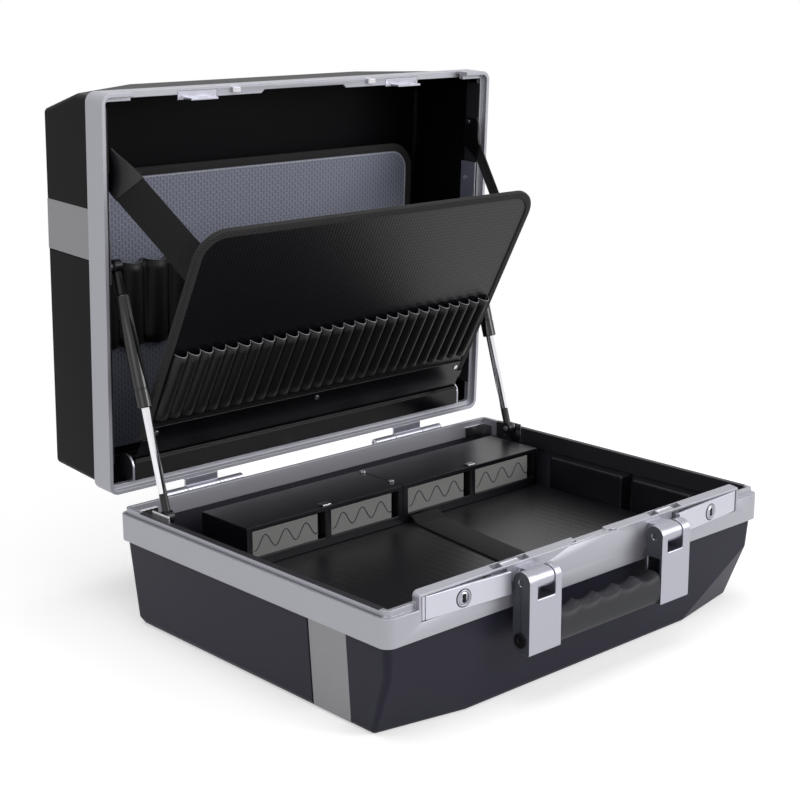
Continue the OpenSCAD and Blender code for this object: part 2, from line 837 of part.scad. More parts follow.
module handle_mount() {
    x_mid = bracket_out - ear_out - barrel_len / 2;
    barrel_r = ear_r - 1.2;
    half = barrel_len / 2;
    foot_high = 8;
    foot_low = 1.5 - notch_low;
    foot_t = 3.4;
    foot_wide = 8;
    translate([0, handle_y, rim + handle_z])
        difference() {
            union() {
                bar_x(x_mid - half, x_mid + half, barrel_r);
                translate([x_mid - half, 0, 0])
                    rotate([90, 0, 90])
                        linear_extrude(barrel_len)
                            polygon([[0, barrel_r], [handle_out - fit, foot_high],
                                [handle_out - fit, foot_low], [0, -barrel_r]]);
                // the foot widens behind the outer ear, with a slanted flank
                hull() {
                    block(x_mid, x_mid + half, handle_out - foot_t, handle_out - fit, foot_low, foot_high);
                    block(x_mid, x_mid + half + foot_wide, handle_out - 0.6, handle_out - fit, foot_low,
                        foot_high - 11);
                }
            }
            bar_x(0, hw, handle_pin_r + run);
        }
}

module handle_mounts() {
    color("#B9B9BF")
        both_sides() handle_mount();
}

module handle_pins() {
    both_sides()
        translate([0, handle_y, rim + handle_z])
            bar_x(bracket_out - bracket_w + 1.5, bracket_out - 0.8, handle_pin_r);
}

module handle_and_latch_pins() {
    color("#8A8A90") {
        handle_pins();
        latch_pins();
    }
}

// One bracket: two ears round the pin, a front plate and side walls down to the grip.
module handle_bracket() {
    x1 = bracket_out;
    x0 = bracket_out - bracket_w;
    notch0 = x1 - ear_out - barrel_len - seat;
    notch1 = x1 - ear_out + seat;
    wall = bracket_wall;
    translate([0, handle_y, rim + handle_z])
        difference() {
            union() {
                bar_x(x0, x1, ear_r);
                block(x0, x1, -ear_r, ear_r, ear_r - handle_drop, 0);
                block(x0, x1, -ear_r, 0, -handle_drop, 0);
                translate([0, 0, ear_r - handle_drop]) bar_x(x0, x1, ear_r);
            }
            block(notch0, notch1, -ear_r - 1, ear_r + 1, -notch_low, ear_r + 1);
            // hollow behind the front plate, where the grip's end sits
            block(x0 - 1, x1 - wall, -ear_r + wall, ear_r - wall, -handle_drop + wall, -20);
            bar_x(x0 - 1, x1 + 1, handle_pin_r + run);
            // hole for the screw into the grip
            translate([0, 0, grip_screw_z]) bar_x(x1 - bracket_wall - 1, x1 + 1, grip_shank_r + 0.6);
        }
}

module handle_bracket_left() {
    color("#B4B4BC") mirror([1, 0, 0]) handle_bracket();
}

module handle_bracket_right() {
    color("#B4B4BC") handle_bracket();
}

module handle_grip() {
    x_in = bracket_out - bracket_w - seat;
    x_end = bracket_out - bracket_wall - fit;
    z0 = rim + handle_z - handle_drop + 1;
    waves = 5;
    pitch = 2 * x_in / waves;
    wave_r = 24;
    wave_d = 4;
    color("#1B1B1F")
        difference() {
            union() {
                block(-x_in, x_in, handle_y - ear_r + 0.5, handle_y + ear_r - 1, z0, z0 + grip_h);
                block(-x_end, x_end, handle_y - ear_r + bracket_wall + fit,
                    handle_y + ear_r - bracket_wall - fit,
                    z0 + 2 + fit, z0 + 24);
            }
            for (i = [0 : waves - 1])
                translate([-x_in + (i + 0.5) * pitch, handle_y + ear_r, z0 + grip_h + wave_r - wave_d])
                    rotate([90, 0, 0]) cylinder(h = 2 * ear_r + 2, r = wave_r);
            both_sides()
                translate([0, handle_y, rim + handle_z + grip_screw_z])
                    bar_x(x_end - 10, x_end + 1, grip_shank_r);
        }
}

module handle_screws() {
    head_t = 1.6;
    shank_l = 11;
    color("#2B2B2F")
        both_sides()
            translate([0, handle_y, rim + handle_z + grip_screw_z])
                difference() {
                    union() {
                        bar_x(bracket_out + fit, bracket_out + head_t, grip_screw_r);
                        bar_x(bracket_out - shank_l, bracket_out + fit, grip_shank_r - fit);
                    }
                    // drive
                    bar_x(bracket_out + head_t - 1, bracket_out + head_t + 1, 2.4);
                }
}

// ---- latches ------------------------------------------------------------------------------

module latch_lever(side) {
    y0 = -hd;
    y1 = -hd + lever_t;
    color("#B4B4BC")
        on_latch(side)
            difference() {
                union() {
                    block(lever_end_x, lever_pivot_x - lever_barrel_r, y0, y1, rim - lever_low,
                        rim + lever_high);
                    // the free end folds back, and the other edge is rolled round the pin
                    block(lever_end_x, lever_end_x + lever_fold_w, y1, y1 + lever_fold_d, rim - 2,
                        rim + lever_high - 1);
                    block(lever_pivot_x - lever_barrel_r - 1, lever_pivot_x, lever_pivot_y - 0.9,
                        lever_pivot_y + 0.9, rim - lever_low, rim + lever_high);
                    translate([lever_pivot_x, lever_pivot_y, rim - lever_low])
                        cylinder(h = lever_low + lever_high, r = lever_barrel_r);
                    // nose that goes through the hook
                    block(hook_x - nose_w / 2, hook_x + nose_w / 2, y1, hook_y + hook_t + 0.8,
                        rim + nose_z - nose_h / 2, rim + nose_z + nose_h / 2);
                }
                translate([lever_pivot_x, lever_pivot_y, rim - 20]) cylinder(h = 40, r = lever_pin_r + run);
                translate([lock_x, y0 - 1, rim - 0.8])
                    rotate([-90, 0, 0]) cylinder(h = lever_t + 2, r = lock_r + run);
            }
}

module lock_plug(side) {
    color("#C6C6CC")
        on_latch(side)
            translate([lock_x, -hd - 0.5, rim - 0.8])
                rotate([-90, 0, 0])
                    difference() {
                        cylinder(h = lever_t + 0.4, r = lock_r);
                        translate([-0.8, -3, -1]) cube([1.6, 6, 2.4]);
                    }
}

// ---- inside the base ----------------------------------------------------------------------

module wall_block(y0, y1) {
    lean = base_lean / (base_h - rail_core_h);
    out = hw - skirt_t - 0.5 - shell_t;
    low_in = lean * (floor_z + 30 - rail_core_h);
    translate([0, y1, rim])
        rotate([90, 0, 0])
            linear_extrude(y1 - y0)
                polygon([[hw - block_in, -block_top - 2], [out - 0.6, -block_top - 2],
                    [out - low_in - 0.6, -floor_z - 30], [hw - block_in - ledge, -floor_z - 30],
                    [hw - block_in - ledge, -floor_z - floor_t], [hw - block_in, -floor_z - floor_t]]);
}

module wall_blocks() {
    front = -hd + block_front_in;
    middle = front + block_front_l;
    color("#1C1C20")
        both_sides() {
            wall_block(front, middle);
            wall_block(middle + block_between, drawer_front_y - 16);
        }
}

module floor_board() {
    half_x = hw - block_in - board_gap;
    front = -(hd - rail_w - 5);
    back = hd - rail_w - 5;
    color("#2A2A2E")
        block(-half_x, half_x, front, back, rim - floor_z - floor_t + fit, rim - floor_z);
}

// Pull strap lying on the floor board.
module floor_strap() {
    t = strap_t;
    front = -hd + 78.5;
    end = drawer_front_y - 3.5;
    crease = end - 10.5;
    rise = 5.6;
    color("#141416")
        translate([floor_strap_x, 0, rim - floor_z + fit])
            rotate([0, 0, -floor_strap_turn])
                translate([-floor_strap_w / 2, 0, 0])
                    rotate([90, 0, 90])
                        linear_extrude(floor_strap_w)
                            polygon([[front, 0], [crease, 0], [end, rise], [end, rise + t], [crease - 1, t],
                                [front, t]]);
}

// Two cells side by side, open at the front.
module drawer_housing(x0) {
    z0 = rim - floor_z + fit;
    difference() {
        block(x0, x0 + housing_w, drawer_front_y, drawer_front_y + housing_d, z0, z0 + housing_h);
        for (i = [0, 1])
            block(cell_x(x0, i), cell_x(x0, i) + cell_w, drawer_front_y - 1,
                drawer_front_y + housing_d - 2, z0 + cell_low, z0 + cell_low + cell_h);
    }
}

function cell_x(x0, i) = x0 + housing_wall + i * (cell_w + cell_divider);

module drawer_housing_left() {
    color("#232328") drawer_housing(housing_joint_x - housing_w - fit);
}

module drawer_housing_right() {
    color("#232328") drawer_housing(housing_joint_x + fit);
}

// Bright clips over the front edge, and dark buttons that link the two housings at their joint.
module housing_clips() {
    z0 = rim - floor_z + housing_h + 2 * fit;
    clip_t = 1.6;
    color("#4A4A50") {
        for (x = [housing_joint_x - housing_w / 2, housing_joint_x + housing_w / 2])
            block(x - 5, x + 5, drawer_front_y + 1, drawer_front_y + 9, z0, z0 + clip_t);
        for (y = [drawer_front_y + 18, drawer_front_y + housing_d - 9])
            translate([housing_joint_x, y, z0]) cylinder(h = clip_t, r = 3.4);
    }
}

// A tray with its front panel to the left and a finger recess at the right.
module drawer(x0, i) {
    cx = cell_x(x0, i) + drawer_gap;
    w = cell_w - 2 * drawer_gap;
    z0 = rim - floor_z + fit + cell_low + drawer_gap;
    h = cell_h - 2 * drawer_gap;
    y0 = drawer_front_y + 0.5;
    d = housing_d - 4;
    t = drawer_wall;
    recess = 9;
    color("#7D7D7B")
        difference() {
            block(cx, cx + w, y0, y0 + d, z0, z0 + h);
            block(cx + t, cx + w - t, y0 + recess + t, y0 + d - t, z0 + t, z0 + h + 1);
            block(cx + t, cx + front_panel_w - t, y0 + t, y0 + recess + t + 1, z0 + t, z0 + h + 1);
            block(cx + front_panel_w, cx + w + 1, y0 - 1, y0 + recess, z0 - 1, z0 + h + 1);
        }
}

// ---- boards in the lid --------------------------------------------------------------------

// A board's outline in its own plane, rounded at the top.
module board_outline(w, l, r) {
    translate([-w / 2, 0]) square([w, l - r]);
    translate([-w / 2 + r, 0]) square([w - 2 * r, l]);
    for (sx = [-1, 1])
        translate([sx * (w / 2 - r), l - r]) circle(r = r);
}

// A plate standing in XZ, its face at y and its thickness behind it.
module board_plate(w, l, r, y0, y1) {
    translate([0, y1, 0]) rotate([90, 0, 0]) linear_extrude(y1 - y0) board_outline(w, l, r);
}

// The woven edging: a frame round the board, a little proud on both faces.
module board_binding(w, l, t) {
    proud = 1.2;
    difference() {
        board_plate(w + 2 * proud, l + proud, board_r + proud, -proud, t + proud);
        translate([0, 0, -1])
            board_plate(w - 2 * binding_w, l - binding_w + 1, board_r - binding_w, -proud - 1, t + proud + 1);
        translate([0, 0, -0.01]) board_plate(w + 2 * fit, l + 0.01 + fit, board_r + fit, -fit, t + fit);
    }
}

// Outline of a row of pockets: shallow arches side by side, standing on the board.
function arches(w, n, depth, narrow) = [for (i = [0 : n - 1], k = [0 : 6])
    [-w / 2 + (i + 0.5 + (k / 6 - 0.5) * (1 - narrow)) * w / n, -depth * pow(sin(180 * k / 6), 0.7)]];

// A strip of upright pockets, open at the top.
module pocket_strip(w, h, n, depth) {
    t = 1;
    difference() {
        linear_extrude(h)
            polygon(concat([[w / 2, 0], [-w / 2, 0]], [for (p = arches(w, n, depth - t, 0)) p - [0, t]]));
        translate([0, -0.5, 2])
            for (i = [0 : n - 1])
                translate([-w / 2 + (i + 0.5) * w / n, 0, 0])
                    linear_extrude(h) polygon(arches(w / n, 1, depth - t - 0.5, 0.16));
    }
}

module front_board() {
    color("#2C2D31")
        on_front_board()
            translate([0, 0, strip_l]) board_plate(board_w, front_board_l, board_r, 0, board_t);
}

module front_binding() {
    color("#1A1A1C")
        on_front_board()
            translate([0, 0, strip_l]) board_binding(board_w, front_board_l, board_t);
}

module front_pockets() {
    color("#151517")
        on_front_board()
            translate([0, -fit, strip_l + front_pocket_low])
                pocket_strip(board_w - 2 * binding_w - 2, front_pocket_h, front_pocket_n, front_pocket_d);
}

// Smooth strip under the board, with the bead that turns in the rail's groove.
module board_hinge_strip() {
    color("#1F1F22")
        on_front_board() {
            block(-board_w / 2, board_w / 2, -2.2, -fit, 16, strip_l - 0.2);
            block(-board_w / 2 + binding_w + 1, board_w / 2 - binding_w - 1, -2.2, -fit, 16, strip_l + 14);
            block(-board_w / 2, board_w / 2, -0.9, 0.9, 0, 18);
            bar_x(-board_w / 2, board_w / 2, bead_r);
        }
}

module strip_screws() {
    color("#C6C6CC")
        on_front_board()
            for (x = [-1, 0, 1] * (board_w / 2 - 14))
                translate([x, -2.2, strip_l + 7]) rotate([90, 0, 0]) cylinder(h = 1, r = 2.6);
}

// The rail's back: stepped, to clear the base's tongue when the case is closed.
module rail_body(y_front) {
    low = board_hinge_z - bead_r - 2;
    step = flange_z + 1;
    top = low + rail_h;
    clear_y = hd - rail_w - 1;
    polygon([[y_front, low], [clear_y, low], [clear_y, step],
        [hd - lid_rail_w - fit, step], [hd - lid_rail_w - fit, top], [y_front, top]]);
}

module board_rail() {
    y_back = hd - rail_w - 1;
    groove_r = bead_r + run;
    color("#242428")
        on_lid()
            translate([-board_w / 2 - 2, 0, rim])
                rotate([90, 0, 90])
                    linear_extrude(board_w + 4)
                        difference() {
                            union() {
                                translate([board_hinge_y, board_hinge_z]) circle(r = bead_r + 2);
                                rail_body(board_hinge_y + 1);
                            }
                            translate([board_hinge_y, board_hinge_z]) circle(r = groove_r);
                            // mouth for the strip's neck
                            translate([board_hinge_y, board_hinge_z])
                                polygon([[0, 1.2], [-8, 3], [-8, -8], [-3, -8], [0, -1.6]]);
                            // hollow of the profile
                            translate([board_hinge_y + 6, board_hinge_z])
                                square([y_back - board_hinge_y - 9, rail_h - bead_r - 5]);
                        }
}

module rail_end_caps() {
    x0 = board_w / 2 + 2 + fit;
    color("#9A9AA0")
        on_lid()
            both_sides()
                translate([x0, 0, rim])
                    rotate([90, 0, 90])
                        linear_extrude(2.5)
                            union() {
                                translate([board_hinge_y + 7, board_hinge_z - bead_r - 2 + rail_h / 2])
                                    circle(r = rail_h / 2);
                                rail_body(board_hinge_y + 7);
                            }
}

module on_rear_board() {
    on_lid()
        translate([0, rear_board_bottom, rim + rear_board_z])
            rotate([90, 0, 0])
                children();
}

module rear_board() {
    color("#6E7280")
        on_rear_board()
            board_plate(board_w, rear_board_l, board_r, 0, board_t);
}

module rear_binding() {
    color("#1A1A1C")
        on_rear_board()
            board_binding(board_w, rear_board_l, board_t);
}

module rear_pockets() {
    color("#151517")
        on_rear_board()
            translate([0, -fit, rear_pocket_low])
                pocket_strip(board_w - 2 * binding_w - 2, rear_pocket_h, rear_pocket_n, rear_pocket_d);
}

// Angle that holds the rear board's lower edge to the lid's back wall.
module rear_board_angle() {
    lean = lid_lean / (lid_h - rail_core_h);
    wall_y = hd - skirt_t - 0.5 - shell_t - lean * (rear_board_z + 12 - rail_core_h) - 0.3;
    z1 = rim + rear_board_z + board_t + fit;
    half = board_w / 2 - 23;
    color("#3A3A3E")
        on_lid() {
            block(-half, half, rear_board_bottom - 22, wall_y, z1, z1 + 1.6);
            block(-half, half, wall_y - 1.6, wall_y, z1 - 14, z1);
        }
}

// ---- straps -------------------------------------------------------------------------------

module strap_anchors() {
    x1 = lid_wall_x;
    color("#2B2B2F")
        on_lid()
            both_sides()
                block(x1 - lid_plate_t, x1, anchor_y - 10, anchor_y + 10, rim + tongue_h + 1, rim + 24);
}

strap_x_lid = lid_wall_x - lid_plate_t - seat - strap_t / 2 - 0.5;
strap_x_board = board_w / 2 - binding_w - 10;

// A strap's cross-section at a share of its run. Its width starts upright against the lid's wall,
// its upper edge leans inwards along the free run, and it ends along the board's back.
function strap_section(share) =
    let (from = [strap_x_lid, strap_start[0], strap_start[1]],
        to = [strap_x_board, strap_end[0], strap_end[1]],
        way = [0, to[1] - from[1], to[2] - from[2]] / norm([to[1] - from[1], to[2] - from[2]]),
        upright = [0, way[2], -way[1]],
        turn = strap_twist * min(1, 4 * share),
        free = upright * cos(turn) - [sin(turn), 0, 0],
        flat = [-cos(50), -sin(board_lean) * sin(50), cos(board_lean) * sin(50)],
        settle = max(0, 4 * share - 3),
        mix = free * (1 - settle) + flat * settle,
        across = mix / norm(mix),
        face = cross(way, across) / norm(cross(way, across)),
        middle = from + (to - from) * share)
    [for (c = [[-1, -1], [1, -1], [1, 1], [-1, 1]])
        middle + c[0] * strap_w / 2 * across + c[1] * strap_t / 2 * face];

module strap() {
    steps = 8;
    color("#111113")
        polyhedron(points = [for (i = [0 : steps], p = strap_section(i / steps)) p],
            faces = concat([[3, 2, 1, 0], [for (k = [0 : 3]) 4 * steps + k]],
                [for (i = [0 : steps - 1], k = [0 : 3])
                    [4 * i + k, 4 * i + (k + 1) % 4, 4 * i + 4 + (k + 1) % 4, 4 * i + 4 + k]]));
}

module strap_right() {
    strap();
}

module strap_left() {
    mirror([1, 0, 0]) strap();
}

module lid_wall_screws() {
    x_plate = lid_wall_x - lid_plate_t;
    color("#C6C6CC")
        on_lid()
            both_sides() {
                translate([0, anchor_y - 6, rim + 20]) bar_x(x_plate - 1, x_plate, 2.6);
                for (y = [stud_up_y - 42, stud_up_y - 17])
                    translate([0, y, rim + 21.5]) bar_x(x_plate - 0.4, x_plate, 2.6);
            }
}

// ---- assembly -----------------------------------------------------------------------------

base_shell();
base_frame();
base_side_liners();
base_side_bands();
rear_corner_angles();
hinge_base_leaves();
hinge_pins();
strut_base_studs();
handle_mounts();
handle_and_latch_pins();
floor_board();
floor_strap();
wall_blocks();
drawer_housing_left();
drawer_housing_right();
housing_clips();
lid_shell();
lid_frame();
lid_side_liners();
lid_side_bands();
hinge_lid_leaves();
latch_hooks();
locating_pegs();
hook_screws();
strut_lid_brackets();
lid_wall_screws();
strap_anchors();
strap_left();
strap_right();
board_rail();
rail_end_caps();
rear_board();
rear_binding();
rear_pockets();
rear_board_angle();
front_board();
front_binding();
front_pockets();
board_hinge_strip();
strip_screws();
handle_bracket_left();
handle_bracket_right();
handle_grip();
handle_screws();
latch_lever(-1);  // latch_lever_left
latch_lever(1);  // latch_lever_right
lock_plug(-1);  // lock_plug_left
lock_plug(1);  // lock_plug_right
strut_rod(-1);  // strut_rod_left
strut_rod(1);  // strut_rod_right
strut_lower_socket(-1);  // strut_lower_socket_left
strut_lower_socket(1);  // strut_lower_socket_right
strut_tube(-1);  // strut_tube_left
strut_tube(1);  // strut_tube_right
strut_upper_fitting(-1);  // strut_upper_fitting_left
strut_upper_fitting(1);  // strut_upper_fitting_right
drawer(housing_joint_x - housing_w - fit, 0);  // drawer_1
drawer(housing_joint_x - housing_w - fit, 1);  // drawer_2
drawer(housing_joint_x + fit, 0);  // drawer_3
drawer(housing_joint_x + fit, 1);  // drawer_4
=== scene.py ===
# %% [markdown]
# # A hard tool case, standing open
#
# The real case is two black moulded shells in aluminium frames. A folding tool board and a
# second board hang in the lid, four small drawers stand at the back of the base, and a
# two-bracket handle with a soft grip hangs at the front. This lesson dresses the fixed model of
# that case: rigid pieces keep their shape and get rounded edges, and the soft pieces are made
# here as surfaces worked out with numpy.

# %% The fixed frame
import math

import bmesh
import bpy
import numpy as np
from mathutils import Matrix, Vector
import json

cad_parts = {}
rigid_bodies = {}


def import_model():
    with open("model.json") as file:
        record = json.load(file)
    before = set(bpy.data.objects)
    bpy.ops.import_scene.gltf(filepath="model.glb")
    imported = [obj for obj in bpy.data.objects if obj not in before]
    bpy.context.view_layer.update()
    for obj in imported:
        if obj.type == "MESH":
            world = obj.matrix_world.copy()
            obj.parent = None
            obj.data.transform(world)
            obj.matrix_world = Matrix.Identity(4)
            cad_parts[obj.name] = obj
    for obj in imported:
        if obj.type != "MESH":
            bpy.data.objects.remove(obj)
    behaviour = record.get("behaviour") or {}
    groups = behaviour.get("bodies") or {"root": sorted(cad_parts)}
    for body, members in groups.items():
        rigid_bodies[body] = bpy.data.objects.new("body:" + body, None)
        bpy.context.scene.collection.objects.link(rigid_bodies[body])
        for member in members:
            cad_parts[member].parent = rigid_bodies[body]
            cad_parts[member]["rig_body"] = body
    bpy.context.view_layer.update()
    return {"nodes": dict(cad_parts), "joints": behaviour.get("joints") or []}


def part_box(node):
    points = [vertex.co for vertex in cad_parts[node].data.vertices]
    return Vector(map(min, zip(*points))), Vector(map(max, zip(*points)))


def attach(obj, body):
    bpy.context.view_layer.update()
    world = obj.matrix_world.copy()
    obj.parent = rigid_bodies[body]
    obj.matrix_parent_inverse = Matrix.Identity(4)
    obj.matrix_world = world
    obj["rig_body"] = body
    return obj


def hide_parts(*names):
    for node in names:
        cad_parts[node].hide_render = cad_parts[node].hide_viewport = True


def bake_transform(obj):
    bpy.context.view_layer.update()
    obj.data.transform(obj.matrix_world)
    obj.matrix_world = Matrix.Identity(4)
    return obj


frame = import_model()
joints = {joint["name"]: joint for joint in frame["joints"]}
MM = 0.001
print("nodes:", len(frame["nodes"]), "joints:", len(joints))

# %% [markdown]
# ## Camera
#
# The photograph was taken from the front left, a little above the case, with a long lens. The
# camera could be aimed with a constraint, but a matrix built from azimuth, elevation and roll
# says exactly where it looks and stays put.

# %% Camera
CAMERA_PLACE = (-1.0686, -1.1017, 0.6033)
CAMERA_AZIMUTH, CAMERA_ELEVATION, CAMERA_ROLL = (math.radians(a) for a in (-42.57, 14.33, -0.27))
FOCAL_LENGTH_MM, SENSOR_WIDTH_MM = 75.53, 36


def camera_axes(azimuth, elevation, roll):
    """Right, up and back as columns: back from the two angles, then right and up turned by roll."""
    back = np.array([math.sin(azimuth) * math.cos(elevation),
                     -math.cos(azimuth) * math.cos(elevation), math.sin(elevation)])
    right = np.array([math.cos(azimuth), math.sin(azimuth), 0.0])
    up = np.cross(back, right)
    turned_right = math.cos(roll) * right + math.sin(roll) * up
    turned_up = -math.sin(roll) * right + math.cos(roll) * up
    return np.stack([turned_right, turned_up, back], axis=1)


placing = np.eye(4)
placing[:3, :3] = camera_axes(CAMERA_AZIMUTH, CAMERA_ELEVATION, CAMERA_ROLL)
placing[:3, 3] = CAMERA_PLACE
lens = bpy.data.cameras.new("camera")
lens.lens, lens.sensor_width = FOCAL_LENGTH_MM, SENSOR_WIDTH_MM
lens.clip_start, lens.clip_end = 0.05, 50
camera = bpy.data.objects.new("camera", lens)
camera.matrix_world = Matrix(placing.tolist())
bpy.context.scene.collection.objects.link(camera)
bpy.context.scene.camera = camera

# %% [markdown]
# ## Small helpers
#
# Colours are written as the sRGB hex a maker would read off a sample card, and one function
# turns them to the linear values that shaders want. One more function adds a node, sets it and
# links it, so each material below reads from top to bottom.


# %% Colours and nodes
def linear(hex_colour):
    """Linear RGBA: a channel c of 0 to 1 is c/12.92, or ((c+0.055)/1.055)^2.4 above 0.04."""
    c = np.array([int(hex_colour[i:i + 2], 16) for i in (1, 3, 5)]) / 255
    return (*np.where(c <= 0.04045, c / 12.92, ((c + 0.055) / 1.055) ** 2.4), 1.0)


def add(tree, kind, settings=None, links=None):
    """Adds a node. A setting's key is a socket's number or name, or else a property's name."""
    node = tree.nodes.new(kind)
    for key, value in (settings or {}).items():
        if isinstance(key, str) and hasattr(node, key):
            setattr(node, key, value)
    for key, value in (settings or {}).items():
        if isinstance(key, int) or not hasattr(node, key):
            node.inputs[key].default_value = value
    for key, source in (links or {}).items():
        tree.links.new(source, node.inputs[key])
    return node


def new_finish(name, colour, roughness, **sockets):
    """A material whose shader has its constants set; returns it with its tree, shader and place."""
    material = bpy.data.materials.new(name)
    material.use_nodes = True
    tree = material.node_tree
    shader = tree.nodes["Principled BSDF"]
    shader.inputs["Base Color"].default_value = linear(colour)
    shader.inputs["Roughness"].default_value = roughness
    for key, value in sockets.items():
        shader.inputs[key.replace("_", " ")].default_value = value
    place = add(tree, "ShaderNodeTexCoord").outputs
    return material, tree, shader, place


def raise_by(tree, shader, height, depth_mm, strength=1.0):
    """Joins a height pattern to the shader's normal through a bump node of a real depth."""
    bump = add(tree, "ShaderNodeBump", {"Strength": strength, "Distance": depth_mm * MM},
               {"Height": height})
    tree.links.new(bump.outputs["Normal"], shader.inputs["Normal"])


def tint(tree, shader, factor, low, high):
    """Colours the shader between two hex colours by a factor pattern."""
    mix = add(tree, "ShaderNodeMix", {"data_type": "RGBA", 6: linear(low), 7: linear(high)},
              {0: factor})
    tree.links.new(mix.outputs[2], shader.inputs["Base Color"])


# %% [markdown]
# ## Moulded plastics
#
# The shells are ABS, vacuum formed over a textured tool, so they are near black with a fine grain
# that breaks up every highlight. The drawer housings are injection moulded in a smoother ABS. A
# noise pattern in the bump makes the grain: it is drawn at 1.2 mm, coarser than the real 0.5 mm,
# because a finer one would vanish at this distance.


# %% Moulded plastics
def moulded(name, colour, roughness, grain_mm, depth_mm, **sockets):
    """A moulded plastic: noise at the grain's size for relief, a slow noise for uneven gloss."""
    material, tree, shader, place = new_finish(name, colour, roughness, **sockets)
    grain = add(tree, "ShaderNodeTexNoise", {"Scale": 1 / (grain_mm * MM), "Detail": 2.0},
                {"Vector": place["Object"]})
    raise_by(tree, shader, grain.outputs["Fac"], depth_mm, 0.6)
    slow = add(tree, "ShaderNodeTexNoise", {"Scale": 9.0, "Detail": 3.0},
               {"Vector": place["Object"]})
    gloss = add(tree, "ShaderNodeMapRange", {3: roughness - 0.04, 4: roughness + 0.05},
                {0: slow.outputs["Fac"]})
    tree.links.new(gloss.outputs[0], shader.inputs["Roughness"])
    return material


# The shell plastic is near black; the blue in its colour is a painted reflection of the light on
# the front walls.
textured_abs = moulded("textured_abs", "#201F2D", 0.42, 1.2, 0.12, Specular_IOR_Level=0.16)
smooth_abs = moulded("smooth_abs", "#0D0D12", 0.30, 0.8, 0.03, Specular_IOR_Level=0.25)
formed_abs = moulded("formed_abs_liner", "#121217", 0.38, 1.0, 0.06, Specular_IOR_Level=0.3)
grey_polystyrene = moulded("grey_polystyrene", "#80807F", 0.42, 0.9, 0.05, Specular_IOR_Level=0.3)
nylon_black = moulded("nylon_black", "#0C0C10", 0.36, 0.7, 0.03, Specular_IOR_Level=0.35)
strip_pvc = moulded("extruded_pvc", "#050508", 0.2, 1.5, 0.02, Specular_IOR_Level=0.3)
# Dark grey liner strips on the inner side walls: painted shade.
liner_painted_shade = moulded("dark_liner_painted_shade", "#29292E", 0.45, 0.8, 0.03, Specular_IOR_Level=0.2)
# The lid shell: a darker, less glossy copy of the shell plastic, as painted shade.
shaded_lid_abs = moulded("textured_abs_lid_painted_shade", "#08080C", 0.42, 1.2, 0.12, Specular_IOR_Level=0.06)
# The base shell's inside: lighter than the outside, as painted light on the inner walls.
lit_inside_abs = moulded("smooth_abs_inside_painted_light", "#33333B", 0.42, 1.0, 0.04, Specular_IOR_Level=0.2)
soft_rubber = moulded("soft_rubber", "#1A1B21", 0.52, 0.9, 0.06, Specular_IOR_Level=0.35)
# Painted shade for the locks' grooves and keyholes; also the drawers' thin dark lines.
groove_shade_and_dark_line = moulded("gap_shade_and_dark_line", "#060608", 0.6, 1.0, 0.02, Specular_IOR_Level=0.2)

# %% [markdown]
# ## Metals
#
# The frames are aluminium, anodised to a satin. The oxide spreads the light, so this shader is only
# about half metallic. The bands and brackets are the same metal with other treatments: brushed
# along their length, or cast and painted. Rods and screws are brighter steel. Every one has a fine
# noise in its roughness, so that large flat faces aren't one even tone.


# %% Metals
def metal(name, colour, roughness, grain_mm, stretch=(1, 1, 1), spread=0.05, depth_mm=0.01,
          metallic=1.0):
    """A metal with a grain of noise in Object space, stretched along the axis it is brushed on."""
    material, tree, shader, place = new_finish(name, colour, roughness, Metallic=metallic)
    turned = add(tree, "ShaderNodeMapping", {"Scale": stretch}, {"Vector": place["Object"]})
    grain = add(tree, "ShaderNodeTexNoise", {"Scale": 1 / (grain_mm * MM), "Detail": 3.0},
                {"Vector": turned.outputs[0]})
    gloss = add(tree, "ShaderNodeMapRange", {3: roughness - spread, 4: roughness + spread},
                {0: grain.outputs["Fac"]})
    tree.links.new(gloss.outputs[0], shader.inputs["Roughness"])
    raise_by(tree, shader, grain.outputs["Fac"], depth_mm, 0.5)
    return material


anodised = metal("satin_anodised_aluminium", "#A7A7AF", 0.42, 1.0, metallic=0.55)
brushed_band = metal("brushed_aluminium", "#88888B", 0.45, 0.8, (1, 1, 0.05))
cast_aluminium = metal("cast_aluminium", "#A9A9B3", 0.36, 0.9)
lever_aluminium = metal("lever_aluminium", "#C2C2CC", 0.36, 0.9)
bright_steel = metal("bright_steel", "#D2D2D6", 0.22, 0.7)
dark_steel = metal("blackened_steel", "#3A3A3E", 0.35, 0.8)
chromed_rod = metal("chromed_rod", "#E4E4E8", 0.10, 2.0, (1, 1, 0.1), 0.02, 0.002)
# Darker grey for the brackets' cheeks and the handle's pins.
grey_cheek = metal("dark_grey_cheek", "#3B3E45", 0.48, 0.9, metallic=0.0)
gloss_enamel = metal("gloss_black_enamel", "#0C0C0E", 0.16, 2.0, spread=0.02, depth_mm=0.002,
                     metallic=0.0)

# %% [markdown]
# ## Boards
#
# Both tool boards and the floor are embossed sheet. The rear board carries short upright dents in
# staggered columns, the front board small diamonds, and the floor long shallow ribs. Each pattern
# is worked out in the board's own plane, so it turns with the board.

# %% Embossed sheets
LID_OPEN = math.radians(joints["lid_hinge"]["range_deg"][1])
BOARD_LEAN = math.radians(28.2)
DENT_PITCH, DENT_COLUMN, DIAMOND_PITCH = 6.2 * MM, 3.8 * MM, 4 * MM


def board_places(tree, place, tilt):
    """Object coordinates turned so that x runs across the board and z up it."""
    flat = add(tree, "ShaderNodeMapping", {"Rotation": (-tilt, 0, 0)}, {"Vector": place["Object"]})
    return add(tree, "ShaderNodeSeparateXYZ", {}, {0: flat.outputs[0]}).outputs


